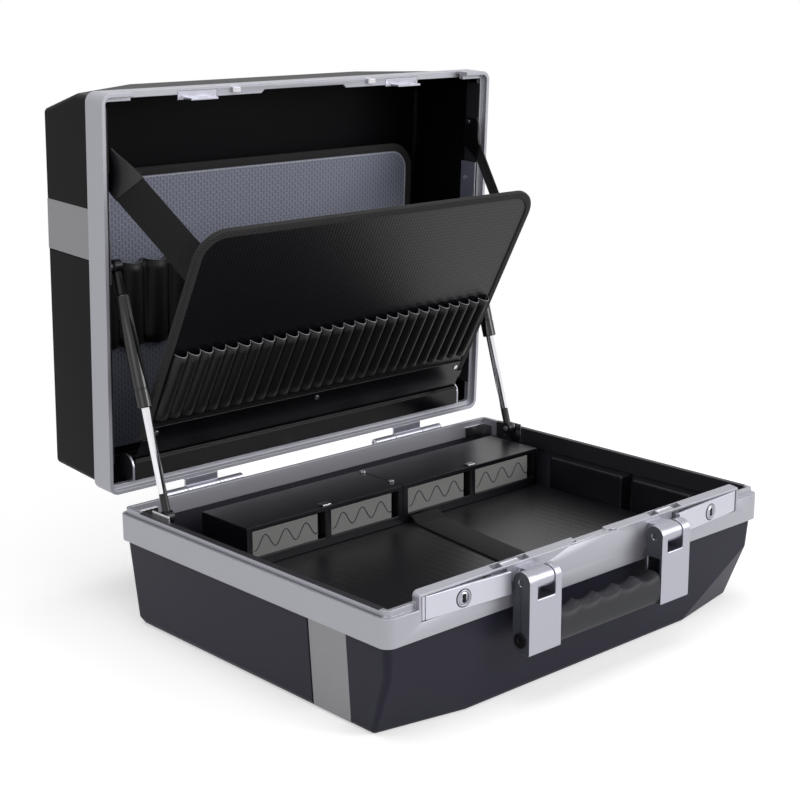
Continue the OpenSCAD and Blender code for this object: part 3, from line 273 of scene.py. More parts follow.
def rear_board_sheet():
    """Short upright dents in staggered columns: a brick pattern laid on its side, whose bricks are
    the dents and whose mortar is the face between them."""
    material, tree, shader, place = new_finish("embossed_grey_board", "#7D8191", 0.55)
    axes = board_places(tree, place, -(math.pi / 2 - LID_OPEN))
    laid = add(tree, "ShaderNodeCombineXYZ", {}, {0: axes["Z"], 1: axes["X"]})
    brick = add(tree, "ShaderNodeTexBrick",
                {"offset": 0.5, "Scale": 1.0, "Mortar Size": 1.2 * MM, "Mortar Smooth": 0.6,
                 "Bias": 0.0, "Brick Width": DENT_PITCH, "Row Height": DENT_COLUMN},
                {"Vector": laid.outputs[0]})
    raise_by(tree, shader, brick.outputs["Fac"], 0.25, 0.7)
    # The dents are painted darker than the face between them: painted shade in the dents.
    tint(tree, shader, brick.outputs["Fac"], "#6E7283", "#878B9C")
    return material


def front_board_sheet():
    """Small diamonds: sin(k(x+z)) * sin(k(x-z)), with k = pi / pitch."""
    material, tree, shader, place = new_finish("embossed_black_board", "#0C0C11", 0.36,
                                               Specular_IOR_Level=0.36)
    axes = board_places(tree, place, BOARD_LEAN)
    waves = []
    for sign in ("ADD", "SUBTRACT"):
        slant = add(tree, "ShaderNodeMath", {"operation": sign}, {0: axes["X"], 1: axes["Z"]})
        turn = add(tree, "ShaderNodeMath", {"operation": "MULTIPLY", 1: math.pi / DIAMOND_PITCH},
                   {0: slant.outputs[0]})
        wave = add(tree, "ShaderNodeMath", {"operation": "SINE"}, {0: turn.outputs[0]})
        waves.append(wave.outputs[0])
    diamond = add(tree, "ShaderNodeMath", {"operation": "MULTIPLY"}, {0: waves[0], 1: waves[1]})
    share = add(tree, "ShaderNodeMapRange", {1: -1.0, 2: 1.0}, {0: diamond.outputs[0]})
    raise_by(tree, shader, share.outputs[0], 0.22, 0.7)
    # The diamonds' tops are painted lighter and the hollows darker: painted highlight and shade.
    tint(tree, shader, share.outputs[0], "#060609", "#0D0D12")
    return material


board_grey = rear_board_sheet()
board_black = front_board_sheet()


# %% The floor's ribs
def ribbed_floor():
    """Long ribs from front to back, broken by a grain so that they read as embossing. Blender's
    wave pattern repeats every pi/10 over its scale, so 31.4 is a pitch of 10 mm."""
    material, tree, shader, place = new_finish("ribbed_floor_sheet", "#08080B", 0.36,
                                               Specular_IOR_Level=0.55)
    ribs = add(tree, "ShaderNodeTexWave", {"Scale": 31.4, "Distortion": 0.6, "Detail": 1.0},
               {"Vector": place["Object"]})
    grain = add(tree, "ShaderNodeTexNoise", {"Scale": 700.0, "Detail": 2.0},
                {"Vector": place["Object"]})
    height = add(tree, "ShaderNodeMath", {"operation": "MULTIPLY_ADD", 1: 0.5},
                 {0: ribs.outputs["Fac"], 2: grain.outputs["Fac"]})
    raise_by(tree, shader, height.outputs[0], 0.18, 0.7)
    tint(tree, shader, grain.outputs["Fac"], "#050508", "#0D0D11")
    return material


floor_sheet = ribbed_floor()

# %% [markdown]
# ## Textiles
#
# Straps are polyester webbing with ribs across the run, the boards' edging is a narrow woven
# tape, and the pockets are thin coated nylon. The first two follow a UV map in metres, u along
# the run and v across it, so that the ribs bend with the strap. Cloth also has a soft sheen.


# %% Webbing, edging tape and pocket cloth
def woven(name, colour, crest_highlight_colour, rib_mm, slant, roughness=0.75, depth_mm=0.3):
    """Ribs are a sine of u + slant*v at the rib's pitch, crossed by finer warp lines along u."""
    material, tree, shader, place = new_finish(name, colour, roughness, Sheen_Weight=0.04,
                                               Specular_IOR_Level=0.2)
    runs = add(tree, "ShaderNodeSeparateXYZ", {}, {0: place["UV"]})
    skew = add(tree, "ShaderNodeMath", {"operation": "MULTIPLY_ADD", 1: slant},
               {0: runs.outputs[1], 2: runs.outputs[0]})
    turns = 2 * math.pi / (rib_mm * MM)
    rib = add(tree, "ShaderNodeMath", {"operation": "MULTIPLY", 1: turns}, {0: skew.outputs[0]})
    wave = add(tree, "ShaderNodeMath", {"operation": "SINE"}, {0: rib.outputs[0]})
    warp_turn = add(tree, "ShaderNodeMath", {"operation": "MULTIPLY", 1: turns * 1.3},
                    {0: runs.outputs[1]})
    warp = add(tree, "ShaderNodeMath", {"operation": "SINE"}, {0: warp_turn.outputs[0]})
    both = add(tree, "ShaderNodeMath", {"operation": "MULTIPLY_ADD", 1: 0.4},
               {0: warp.outputs[0], 2: wave.outputs[0]})
    share = add(tree, "ShaderNodeMapRange", {1: -1.4, 2: 1.4}, {0: both.outputs[0]})
    raise_by(tree, shader, share.outputs[0], depth_mm, 0.8)
    # The ribs' crests are painted lighter and their troughs darker: painted highlight and shade.
    tint(tree, shader, share.outputs[0], colour, crest_highlight_colour)
    return material


# The second colour is the painted highlight on the ribs' crests.
webbing = woven("polyester_webbing", "#040405", "#1B1B1E", 2.6, 0.35)
edging_tape = woven("woven_edging_tape", "#0A0A0B", "#3A3A3A", 3.0, 0.8, 0.8, 0.4)


def coated_nylon():
    """A thin cloth. Its weave is too fine to show, so a soft noise stands for its creases."""
    material, tree, shader, place = new_finish("coated_nylon_cloth", "#0B0B0E", 0.5,
                                               Sheen_Weight=0.03, Specular_IOR_Level=0.35)
    crease = add(tree, "ShaderNodeTexNoise", {"Scale": 60.0, "Detail": 4.0},
                 {"Vector": place["Object"]})
    raise_by(tree, shader, crease.outputs["Fac"], 1.0, 0.35)
    # The creases' hollows are painted darker and their crests lighter: painted shade and highlight.
    tint(tree, shader, crease.outputs["Fac"], "#050507", "#0B0B0E")
    return material


pocket_cloth = coated_nylon()
thread = moulded("grey_thread", "#9C9CA2", 0.7, 0.6, 0.05)
pale_thread = moulded("pale_thread", "#E2E2E6", 0.7, 0.6, 0.05)

# %% [markdown]
# ## Rigid pieces from the frame
#
# A rigid piece already has its true shape, but its edges are knife sharp and its faces are loose
# triangles. Real castings and extrusions have small radii that catch a line of light. So a copy
# of each such mesh is merged, its flat faces are joined again, and a Bevel modifier rounds the
# edges. The copy stands for the node and rides the same body.


# %% Rounded copies
FACET_DEGREES = 12


def body_of_node(node):
    return frame["nodes"][node]["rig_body"]


def merged_copy(node, flat_degrees=1.0):
    """The node's mesh as a new one: doubles merged and coplanar triangles joined to faces. A face
    of many corners is cut up again and its triangles are paired, because the bevel needs that."""
    mesh = frame["nodes"][node].data.copy()
    work = bmesh.new()
    work.from_mesh(mesh)
    bmesh.ops.remove_doubles(work, verts=work.verts, dist=2e-6)
    bmesh.ops.dissolve_limit(work, angle_limit=math.radians(flat_degrees), verts=work.verts,
                             edges=work.edges)
    bmesh.ops.triangulate(work, faces=[f for f in work.faces if len(f.verts) > 4])
    bmesh.ops.join_triangles(work, faces=work.faces,
                             angle_face_threshold=math.radians(flat_degrees),
                             angle_shape_threshold=math.pi)
    work.to_mesh(mesh)
    work.free()
    mesh.name = node + "_finished"
    return mesh


def finish_piece(name, mesh, body, materials, replaces=()):
    """Makes the object, gives it its materials and body, and hides the nodes it stands for."""
    piece = bpy.data.objects.new(name, mesh)
    bpy.context.scene.collection.objects.link(piece)
    mesh.materials.clear()
    for material in materials:
        mesh.materials.append(material)
    mesh.shade_smooth()
    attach(piece, body)
    if replaces:
        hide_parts(*replaces)
    return piece


def round_edges(piece, width_mm, segments=2, sharp_degrees=30):
    """Rounds the sharp edges. Faces that meet at more than a cylinder's facets keep their own
    shading, so that a flat face stays one tone."""
    piece.data.set_sharp_from_angle(angle=math.radians(FACET_DEGREES))
    bevel = piece.modifiers.new("rounded edges", "BEVEL")
    bevel.width, bevel.segments = width_mm * MM, segments
    bevel.limit_method, bevel.angle_limit = "ANGLE", math.radians(sharp_degrees)
    bevel.use_clamp_overlap = False
    bevel.harden_normals = True
    bevel.miter_outer = "MITER_ARC"


def rounded(node, material, width_mm):
    """A rounded copy that stands for the node."""
    piece = finish_piece(node + "_finished", merged_copy(node), body_of_node(node),
                         [material], [node])
    round_edges(piece, width_mm)


RIGID_PIECES = [
    ("base_frame", "frame", anodised, 0.5), ("lid_frame", "frame", anodised, 0.5),
    ("base_side_bands", "band", brushed_band, 0.2), ("lid_side_bands", "band", brushed_band, 0.2),
    ("rear_corner_angles", "bright_metal", bright_steel, 0.2),
    ("hinge_base_leaves", "frame", cast_aluminium, 0.4),
    ("hinge_lid_leaves", "frame", cast_aluminium, 0.4),
    ("handle_mounts", "handle_metal", cast_aluminium, 0.15),
    ("strut_base_studs", "bright_metal", bright_steel, 0.4),
    ("strut_lid_brackets", "bright_metal", cast_aluminium, 0.3),
    ("wall_blocks", "liner", formed_abs, 2.5), ("floor_board", "floor", floor_sheet, 0.6),
    ("drawer_housing_left", "housing", smooth_abs, 0.7),
    ("drawer_housing_right", "housing", smooth_abs, 0.7),
    ("housing_clips", "dark_metal", bright_steel, 0.4),
    ("latch_hooks", "dark_metal", cast_aluminium, 0.3),
    ("locating_pegs", "bright_metal", bright_steel, 0.2),
    ("hook_screws", "bright_metal", bright_steel, 0.2),
    ("lid_wall_screws", "bright_metal", bright_steel, 0.15),
    ("strap_anchors", "strut_black", nylon_black, 0.3),
    ("board_rail", "strip", strip_pvc, 0.8), ("rail_end_caps", "bright_metal", cast_aluminium, 0.5),
    ("rear_board_angle", "dark_metal", dark_steel, 0.3),
    ("board_hinge_strip", "strip", strip_pvc, 0.4),
    ("strip_screws", "bright_metal", bright_steel, 0.2),
    ("handle_screws", "dark_metal", nylon_black, 0.3),
    ("latch_lever_left", "handle_metal", lever_aluminium, 0.45),
    ("latch_lever_right", "handle_metal", lever_aluminium, 0.45),
    ("strut_rod_left", "rod", chromed_rod, 0.3), ("strut_rod_right", "rod", chromed_rod, 0.3),
    ("strut_lower_socket_left", "strut_socket", nylon_black, 0.3),
    ("strut_lower_socket_right", "strut_socket", nylon_black, 0.3),
    ("strut_upper_fitting_left", "strut_socket", nylon_black, 0.3),
    ("strut_upper_fitting_right", "strut_socket", nylon_black, 0.3),
    ("drawer_1", "drawer", grey_polystyrene, 0.5), ("drawer_2", "drawer", grey_polystyrene, 0.5),
    ("drawer_3", "drawer", grey_polystyrene, 0.5), ("drawer_4", "drawer", grey_polystyrene, 0.5),
    ("front_board", "board_black", board_black, 0.5), ("rear_board", "board_grey", board_grey, 0.5),
]
for node, slot, material, width_mm in RIGID_PIECES:
    rounded(node, material, width_mm)
print("rounded pieces:", len(RIGID_PIECES))

# %% [markdown]
# ## Liners and pins
#
# The thin liner strips and the pins are mostly hidden, so the frame's own meshes stay and only get
# their finish. The liner strips are dark grey as painted shade on the inner side walls. The
# handle's pins end flush with the cheeks and take the cheeks' darker grey.


# %% Nodes that keep their own mesh
def paint(node, material):
    own = frame["nodes"][node]
    own.data.materials.clear()
    own.data.materials.append(material)


# Painted shade: the liner strips stand in for the shade on the inner side walls.
for node in ("base_side_liners", "lid_side_liners"):
    paint(node, liner_painted_shade)
paint("hinge_pins", bright_steel)
paint("handle_and_latch_pins", grey_cheek)

# %% [markdown]
# ## Shells
#
# The shells are one smooth skin each: flat walls, a swept facet at each front corner and rounds
# between them. They are rounded as the other pieces are, and the Weighted Normal modifier keeps
# their large faces flat. The base's inner side never met the textured mould, so it is smoother;
# it is also painted lighter than the outside, as painted light on the inner walls. The lid's shell
# takes a darker copy of the same plastic, inside and out, as painted shade.


# %% Shells
def smooth_shell(node, outside, inside):
    """Faces that look towards the half's middle are its inside and take the second material."""
    shell = finish_piece(node + "_finished", merged_copy(node, 0.3), body_of_node(node),
                         [outside, inside], [node])
    count = len(shell.data.polygons)
    centres, normals = np.zeros(count * 3), np.zeros(count * 3)
    shell.data.polygons.foreach_get("center", centres)
    shell.data.polygons.foreach_get("normal", normals)
    middle = np.mean([list(corner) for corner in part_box(node)], axis=0)
    inward = ((middle - centres.reshape(-1, 3)) * normals.reshape(-1, 3)).sum(axis=1) > 0
    shell.data.polygons.foreach_set("material_index", inward.astype(np.int32))
    round_edges(shell, 0.8, sharp_degrees=40)
    shell.data.set_sharp_from_angle(angle=math.radians(32))
    weighted = shell.modifiers.new("flat faces stay flat", "WEIGHTED_NORMAL")
    weighted.keep_sharp = True


# Painted light: the base's inner faces take the lighter copy.
smooth_shell("base_shell", textured_abs, lit_inside_abs)
# Painted shade: the lid takes the darker copy inside and out.
smooth_shell("lid_shell", shaded_lid_abs, shaded_lid_abs)

# %% [markdown]
# ## Surfaces from numpy
#
# Every soft piece below is a grid of points worked out as whole arrays: rows along the piece and
# columns around or across it. One function skins such a grid, and the pieces differ only in the
# formula that fills it.


# %% Skinning a grid
def skin(rows, closed=False, capped=False, uv=None):
    """A mesh of quads between neighbouring rows; closed joins the last column to the first, and
    capped adds a face at each end. uv is one pair for each grid point."""
    rows = np.asarray(rows, float)
    n, m = rows.shape[:2]
    index = np.arange(n * m).reshape(n, m)
    right = np.roll(index, -1, axis=1) if closed else index[:, 1:]
    left = index if closed else index[:, :-1]
    quads = np.stack([left[:-1], right[:-1], right[1:], left[1:]], axis=-1).reshape(-1, 4)
    faces = quads.tolist()
    if capped:
        faces += [index[0][::-1].tolist(), index[-1].tolist()]
    mesh = bpy.data.meshes.new("skin")
    mesh.from_pydata(rows.reshape(-1, 3), [], faces)
    if uv is not None:
        layer = mesh.uv_layers.new(name="run")
        corners = np.zeros(len(mesh.loops), int)
        mesh.loops.foreach_get("vertex_index", corners)
        layer.data.foreach_set("uv", np.asarray(uv, float).reshape(-1, 2)[corners].ravel())
    if closed:
        outward(mesh)
    return mesh


def outward(mesh):
    """Turns a closed mesh's faces to point out."""
    work = bmesh.new()
    work.from_mesh(mesh)
    bmesh.ops.recalc_face_normals(work, faces=work.faces)
    work.to_mesh(mesh)
    work.free()


def rounded_section(width, height, corner, steps=4):
    """A rectangle with quarter-circle corners, as points counterclockwise about the origin."""
    turns = np.linspace(0, math.pi / 2, steps)
    centres = (np.array([[1, 1], [-1, 1], [-1, -1], [1, -1]])
               * (np.array([width, height]) / 2 - corner))
    quarters = []
    for k, centre in enumerate(centres):
        turn = turns + k * math.pi / 2
        quarters.append(centre + corner * np.stack([np.cos(turn), np.sin(turn)], 1))
    return np.concatenate(quarters)


def swept(path, across, out, section):
    """Carries a section along a path: path + section x times across + section y times out."""
    path, across, out = (np.asarray(v, float) for v in (path, across, out))
    return (path[:, None] + section[None, :, :1] * across[:, None]
            + section[None, :, 1:] * out[:, None])


def run_uv(rows, section):
    """u is the length run along the path and v the length run round the section."""
    u = np.concatenate([[0], np.cumsum(np.linalg.norm(np.diff(rows.mean(axis=1), axis=0), axis=1))])
    v = np.concatenate([[0], np.cumsum(np.linalg.norm(np.diff(section, axis=0), axis=1))])
    return np.stack(np.broadcast_arrays(u[:, None], v[None, :]), axis=-1)


# %% [markdown]
# ## Places in the lid and on the boards
#
# The lid and the front board are drawn in their own plain axes and then turned to where they
# stand. The lid's axes are those of the closed case, in which its walls are upright; the front
# board's have z up the board from its hinge and y into it.

# %% Places
HINGE = np.array(joints["lid_hinge"]["pos_m"])
BOARD_HINGE = np.array(joints["board_fold"]["pos_m"])
RIM = 0.110
REAR_BOARD_BOTTOM, REAR_BOARD_HEIGHT = 0.174, RIM + 0.087


def turned_x(points, angle, centre):
    """Points turned about an axis along X through a centre."""
    p = np.asarray(points, float) - centre
    c, s = math.cos(angle), math.sin(angle)
    return np.stack([p[..., 0], p[..., 1] * c - p[..., 2] * s,
                     p[..., 1] * s + p[..., 2] * c], -1) + centre


def in_lid(points):
    """From the closed lid's axes to the open lid."""
    return turned_x(points, -LID_OPEN, HINGE * [0, 1, 1])


def on_front_board(points):
    """From the front board's own axes to where it leans."""
    return turned_x(points, BOARD_LEAN, 0) + BOARD_HINGE


def on_rear_board(points):
    """From the rear board's own axes, z up the board and y into it, to the open lid."""
    p = np.asarray(points, float)
    return in_lid(np.stack([p[..., 0], REAR_BOARD_BOTTOM - p[..., 2],
                            REAR_BOARD_HEIGHT + p[..., 1]], -1))


# %% [markdown]
# ## Edging tape round the boards
#
# The boards' raw edges are bound with woven tape that is folded over and stitched. It is a flat
# rounded section carried round the board's outline, which is two straight sides, a top and a
# quarter circle at each corner. On the rear board its pale stitching shows just inside the tape.

# %% Edging
BOARD_W, BOARD_T, BOARD_R, TAPE_W, TAPE_PROUD = 0.426, 0.0032, 0.028, 0.0082, 0.0012
FRONT_BOARD = (0.026, 0.262)   # where its edging starts and ends, up the board
REAR_BOARD = (0.0, 0.2775)
SIDE_STEPS, CORNER_STEPS, TOP_STEPS = 12, 10, 13


def board_edge(z_low, z_high, inset):
    """The outline as points and outward directions: up one side, round, across, round and down."""
    half, r = BOARD_W / 2 - inset, BOARD_R - inset
    turns = np.linspace(math.pi, math.pi / 2, CORNER_STEPS)
    corner = np.stack([-half + r + r * np.cos(turns), z_high - inset - r + r * np.sin(turns)], 1)
    rising = np.linspace(z_low, corner[0, 1], SIDE_STEPS, endpoint=False)
    side = np.stack([np.full(SIDE_STEPS, -half), rising], 1)
    to_middle = np.linspace(corner[-1, 0], 0, TOP_STEPS + 1)[1:]
    top = np.stack([to_middle, np.full(TOP_STEPS, z_high - inset)], 1)
    left = np.concatenate([side, corner, top])
    out = np.concatenate([np.tile([-1.0, 0], (SIDE_STEPS, 1)),
                          np.stack([np.cos(turns), np.sin(turns)], 1),
                          np.tile([0, 1.0], (TOP_STEPS, 1))])
    mirrored = np.array([-1, 1])
    return tuple(np.concatenate([v, (v * mirrored)[-2::-1]]) for v in (left, out))


def edging(name, board, place, node, body):
    """The tape's section swept round the board's edge, half way into the board."""
    section = rounded_section(TAPE_W, BOARD_T + 2 * TAPE_PROUD, 0.0016)
    middle = TAPE_W / 2 - TAPE_PROUD
    edge, out = board_edge(*board, middle)
    path = np.stack([edge[:, 0], np.full(len(edge), BOARD_T / 2), edge[:, 1]], 1)
    outward_dir = np.stack([out[:, 0], np.zeros(len(out)), out[:, 1]], 1)
    rows = swept(path, outward_dir, np.tile([0, 1.0, 0], (len(path), 1)), section)
    mesh = skin(place(rows), closed=True, capped=True, uv=run_uv(rows, section))
    finish_piece(name, mesh, body, [edging_tape], [node])


edging("front_edging_tape", FRONT_BOARD, on_front_board, "front_binding", "tool_board")
edging("rear_edging_tape", REAR_BOARD, on_rear_board, "rear_binding", "lid")

# %% Stitches
STITCH, STITCH_INSET, ZIGZAG, THREAD_R = 0.0022, 0.0013, 0.001, 0.0003


def stitches(name, board, place, body):
    """A zigzag of thread along the tape's inner edge: every second point lies 1 mm further in."""
    edge, out = board_edge(*board, TAPE_W - TAPE_PROUD + STITCH_INSET)
    run = np.concatenate([[0], np.cumsum(np.linalg.norm(np.diff(edge, axis=0), axis=1))])
    along = np.arange(0, run[-1], STITCH)
    points, away = (np.stack([np.interp(along, run, v[:, k]) for k in (0, 1)], 1)
                    for v in (edge, out))
    points += away * (ZIGZAG / 2 * (-1.0) ** np.arange(len(along)))[:, None]
    path = np.stack([points[:, 0], np.full(len(points), -0.0001), points[:, 1]], 1)
    heading = np.gradient(path, axis=0)
    heading /= np.linalg.norm(heading, axis=1, keepdims=True)
    proud = np.tile([0, -1.0, 0], (len(path), 1))
    section = rounded_section(2 * THREAD_R, 2 * THREAD_R, THREAD_R * 0.9, 2)
    rows = swept(path, np.cross(heading, proud), proud, section)
    finish_piece(name, skin(place(rows), True, True), body, [pale_thread])


stitches("rear_tape_stitches", REAR_BOARD, on_rear_board, "lid")

# %% [markdown]
# ## Pockets
#
# Each row of pockets is one long piece of cloth, stitched down between the tools' places so that
# it stands off the board in arches. In plan an arch is a power of a half sine; towards its foot
# it is flatter, because the cloth is pulled down there. A thin grey hem runs along the top.

# %% Pockets
CLOTH_T = 0.0008


def flutes(width, count, depth, low, high, droop, steps=12):
    """Grid of cloth points: depth times sin(pi k)^0.7 across each flute, grown from 0.72 at the
    foot to 1 at the top, with the top edge drawn down by droop between the seams."""
    across = np.linspace(0, count, count * steps + 1)
    up = np.linspace(0, 1, 9)[:, None]
    bulge = np.sin(math.pi * (across % 1.0)) ** 0.7
    bulge = np.where(np.isfinite(bulge), bulge, 0)
    y = -depth * bulge * (0.72 + 0.28 * up ** 0.6)
    z = low + (high - low) * up - droop * bulge * up ** 6
    x = np.broadcast_to((across / count - 0.5) * width, y.shape)
    return np.stack([x, y, z], -1)


def tube_along(path, radius, sides=6):
    """A thin round tube along a path that runs mostly along X, its rings square to X."""
    turns = np.linspace(0, 2 * math.pi, sides, endpoint=False)
    ring = radius * np.stack([np.zeros(sides), np.cos(turns), np.sin(turns)], 1)
    return np.asarray(path)[:, None] + ring[None]


def pocket_row(name, node, body, place, width, count, depth, low, high, droop, hem_r):
    """The cloth, thickened by a Solidify modifier, and its hem as a piece of its own."""
    front = flutes(width, count, depth, low, high, droop)
    front[..., 1] = np.minimum(front[..., 1], -0.0006)
    cloth = finish_piece(name, skin(place(front)), body, [pocket_cloth], [node])
    wall = cloth.modifiers.new("cloth thickness", "SOLIDIFY")
    wall.thickness, wall.offset = CLOTH_T, 0.0
    hem = tube_along(front[-1], hem_r)
    finish_piece(name + "_hem", skin(place(hem), closed=True, capped=True), body,
                 [thread])


POCKETS_W = 0.410
pocket_row("front_pocket_row", "front_pockets", "tool_board", on_front_board, POCKETS_W, count=28,
           depth=0.0078, low=0.051, high=0.128, droop=0.0, hem_r=0.00045)
pocket_row("rear_pocket_row", "rear_pockets", "lid", on_rear_board, POCKETS_W, count=14,
           depth=0.0116, low=0.104, high=0.190, droop=0.002, hem_r=0.0003)

# %% [markdown]
# ## Straps
#
# The two webbing straps hold the front board at its angle. Each runs from a plate on the lid's
# wall, where a smooth patch covers it, to the board's back. The mesh has 48 rows along its length,
# but it is tied to neither the board nor the lid, so it stays where it is drawn.

# %% Board straps
STRAP_W, STRAP_T = 0.033, 0.0018
STRAP_TWIST, STRAP_LIE = math.radians(30), math.radians(50)
PATCH_SHARE, PATCH_EXTRA = 0.26, 0.0012
LID_END = in_lid([0.2326, -0.127, RIM + 0.016])
BOARD_END = on_front_board([0.196, 0.0048, 0.215])


def eased(share):
    """Goes smoothly from 0 to 1: 3 s^2 - 2 s^3."""
    share = np.clip(share, 0, 1)
    return share * share * (3 - 2 * share)


def strap_rows(side, share0, share1, width, thickness, steps):
    """The centreline is straight. The section's width starts upright, in the plane of the case's
    side, leans inwards by the twist over the first quarter, and over the last quarter turns to
    lie along the board's back."""
    s = np.linspace(share0, share1, steps)[:, None]
    way = (BOARD_END - LID_END) * [0, 1, 1]
    way /= np.linalg.norm(way)
    upright = np.array([0, way[2], -way[1]])
    turn = STRAP_TWIST * eased(4 * s)
    free = upright * np.cos(turn) - np.array([1.0, 0, 0]) * np.sin(turn)
    along_board = on_front_board([-math.cos(STRAP_LIE), 0, math.sin(STRAP_LIE)]) - BOARD_HINGE
    settle = eased(4 * s - 3)
    across = free * (1 - settle) + along_board * settle
    across /= np.linalg.norm(across, axis=1, keepdims=True)
    out = np.cross(way, across)
    out /= np.linalg.norm(out, axis=1, keepdims=True)
    section = rounded_section(width, thickness, thickness * 0.45, 3)
    rows = swept(LID_END + (BOARD_END - LID_END) * s, across, out, section)
    return rows * [side, 1, 1], run_uv(rows, section)


for side, hand in ((-1, "left"), (1, "right")):
    rows, uv = strap_rows(side, 0, 1, STRAP_W, STRAP_T, 48)
    strap = bpy.data.objects.new("webbing_strap_" + hand, skin(rows, True, True, uv))
    rows, uv = strap_rows(side, 0, PATCH_SHARE, STRAP_W + PATCH_EXTRA, STRAP_T + PATCH_EXTRA, 14)
    patch = bpy.data.objects.new("strap_patch_" + hand, skin(rows, True, True, uv))
    for piece, material in ((strap, webbing), (patch, nylon_black)):
        bpy.context.scene.collection.objects.link(piece)
        piece.data.materials.append(material)
        piece.data.shade_smooth()
        piece.data.set_sharp_from_angle(angle=math.radians(40))
        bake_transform(piece)
    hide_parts("strap_" + hand)

# %% [markdown]
# ## Pull strap on the floor
#
# A length of the same webbing lies on the floor board and rises to the drawer housings at the
# back. Its path is straight and then bends softly upwards.

# %% Pull strap
PULL_X, PULL_TURN, PULL_W = 0.0361, math.radians(-7.8), 0.0355
PULL_FRONT, PULL_BEND, PULL_BACK = -0.110, 0.060, 0.0765
RISE_START, RISE_RUN, RISE_HEIGHT = 0.064, 0.0125, 0.0056
CLEAR = 0.0001
FLOOR_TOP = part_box("floor_board")[1].z


def pull_strap():
    """Height is half a thickness on the floor and then the rise's height times eased(run)."""
    y = np.concatenate([np.linspace(PULL_FRONT, PULL_BEND, 40),
                        np.linspace(PULL_BEND + MM / 2, PULL_BACK, 16)])
    z = FLOOR_TOP + CLEAR + STRAP_T / 2 + RISE_HEIGHT * eased((y - RISE_START) / RISE_RUN)
    section = rounded_section(PULL_W, STRAP_T, STRAP_T * 0.45, 3)
    path = np.stack([np.zeros_like(y), y, z], 1)
    rows = swept(path, np.tile([1.0, 0, 0], (len(y), 1)), np.tile([0, 0, 1.0], (len(y), 1)),
                 section)
    uv = run_uv(rows, section)
    c, s = math.cos(PULL_TURN), math.sin(PULL_TURN)
    rows = np.stack([rows[..., 0] * c - rows[..., 1] * s + PULL_X,
                     rows[..., 0] * s + rows[..., 1] * c, rows[..., 2]], -1)
    finish_piece("pull_strap", skin(rows, True, True, uv), "base", [webbing],
                 ["floor_strap"])


pull_strap()

# %% [markdown]
# ## Handle
#
# The brackets are cast, with bright faces and darker grey cheeks, and the grip is a soft
# moulding with finger rests along its upper edge. The cheeks are a second material on the faces
# that point sideways.

# %% Brackets
BRACKET_OUT, BRACKET_W = 0.1065, 0.0395   # from the middle to the outer cheek, and cheek to cheek


def bracket(node):
    """A rounded copy whose sideways faces in the two outer planes take the cheeks' darker grey."""
    piece = finish_piece(node + "_finished", merged_copy(node), "handle",
                         [cast_aluminium, grey_cheek], [node])
    count = len(piece.data.polygons)
    centres, normals = np.zeros(count * 3), np.zeros(count * 3)
    piece.data.polygons.foreach_get("center", centres)
    piece.data.polygons.foreach_get("normal", normals)
    away = np.abs(centres.reshape(-1, 3)[:, 0])
    sideways = np.abs(normals.reshape(-1, 3)[:, 0]) > 0.9
    planes = (np.abs(away - BRACKET_OUT) < MM) | (np.abs(away - BRACKET_OUT + BRACKET_W) < MM)
    piece.data.polygons.foreach_set("material_index", (sideways & planes).astype(np.int32))
    round_edges(piece, 0.7, 3)


for node in ("handle_bracket_left", "handle_bracket_right"):
    bracket(node)

# %% Grip
GRIP_DEPTH, GRIP_POWER, RESTS, REST_DEPTH = 0.0188, 3.2, 5, 0.0042
END_ROUND, END_SCALE = 0.0016, 0.93
grip_low, grip_high = (np.array(corner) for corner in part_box("handle_grip"))


def grip():
    """A superellipse section, |y|^3.2 + |z|^3.2 = 1, along X. Its top drops by the rests' depth
    times |cos|^0.8 of a wave, so crests are crisp and rests are round. Its ends draw in a little
    along a quarter circle."""
    half = BRACKET_OUT - BRACKET_W - 0.4 * MM
    x = np.linspace(-half, half, 181)[:, None]
    turns = np.linspace(0, 2 * math.pi, 48, endpoint=False)[None]
    height = grip_high[2] - grip_low[2]
    power = 2 / GRIP_POWER
    y = np.sign(np.cos(turns)) * np.abs(np.cos(turns)) ** power * GRIP_DEPTH / 2
    z = np.sign(np.sin(turns)) * np.abs(np.sin(turns)) ** power
    dip = REST_DEPTH * np.abs(np.cos(RESTS * math.pi * x / (2 * half))) ** 0.8
    top = height / 2 - dip
    z = np.where(z > 0, z * top, z * height / 2)
    ends = np.clip((half - np.abs(x)) / END_ROUND, 0, 1)
    shrink = END_SCALE + (1 - END_SCALE) * np.sqrt(1 - (1 - ends) ** 2)
    middle_z = grip_low[2] + height / 2
    centre_y = joints["handle_swing"]["pos_m"][1] - 0.0002
    rows = np.stack(np.broadcast_arrays(x, centre_y + y * shrink, middle_z + z * shrink), -1)
    finish_piece("soft_grip", skin(rows, True, True), "handle", [soft_rubber],
                 ["handle_grip"])


grip()

# %% [markdown]
# ## Strut tubes
#
# Each gas strut's tube is turned steel in black enamel: a plain barrel with a collar and a
# groove at the rod end and a domed closed end. A profile of radius against length, turned about
# the strut's line, gives all of it.


# %% Tubes
def frame_along(direction):
    """Two unit vectors square to a direction and to each other."""
    side = np.array([1.0, 0, 0])
    other = np.cross(direction, side)
    return side, other / np.linalg.norm(other)


def lathe(start, direction, profile, sides=40):
    """Rows of rings: at length l along the direction the ring has radius r, for each (l, r)."""
    direction = np.asarray(direction, float) / np.linalg.norm(direction)
    a, b = frame_along(direction)
    turns = np.linspace(0, 2 * math.pi, sides, endpoint=False)
    ring = np.cos(turns)[:, None] * a + np.sin(turns)[:, None] * b
    lengths, radii = np.array(profile, float).T
    return (np.asarray(start, float) + lengths[:, None, None] * direction
            + radii[:, None, None] * ring[None])


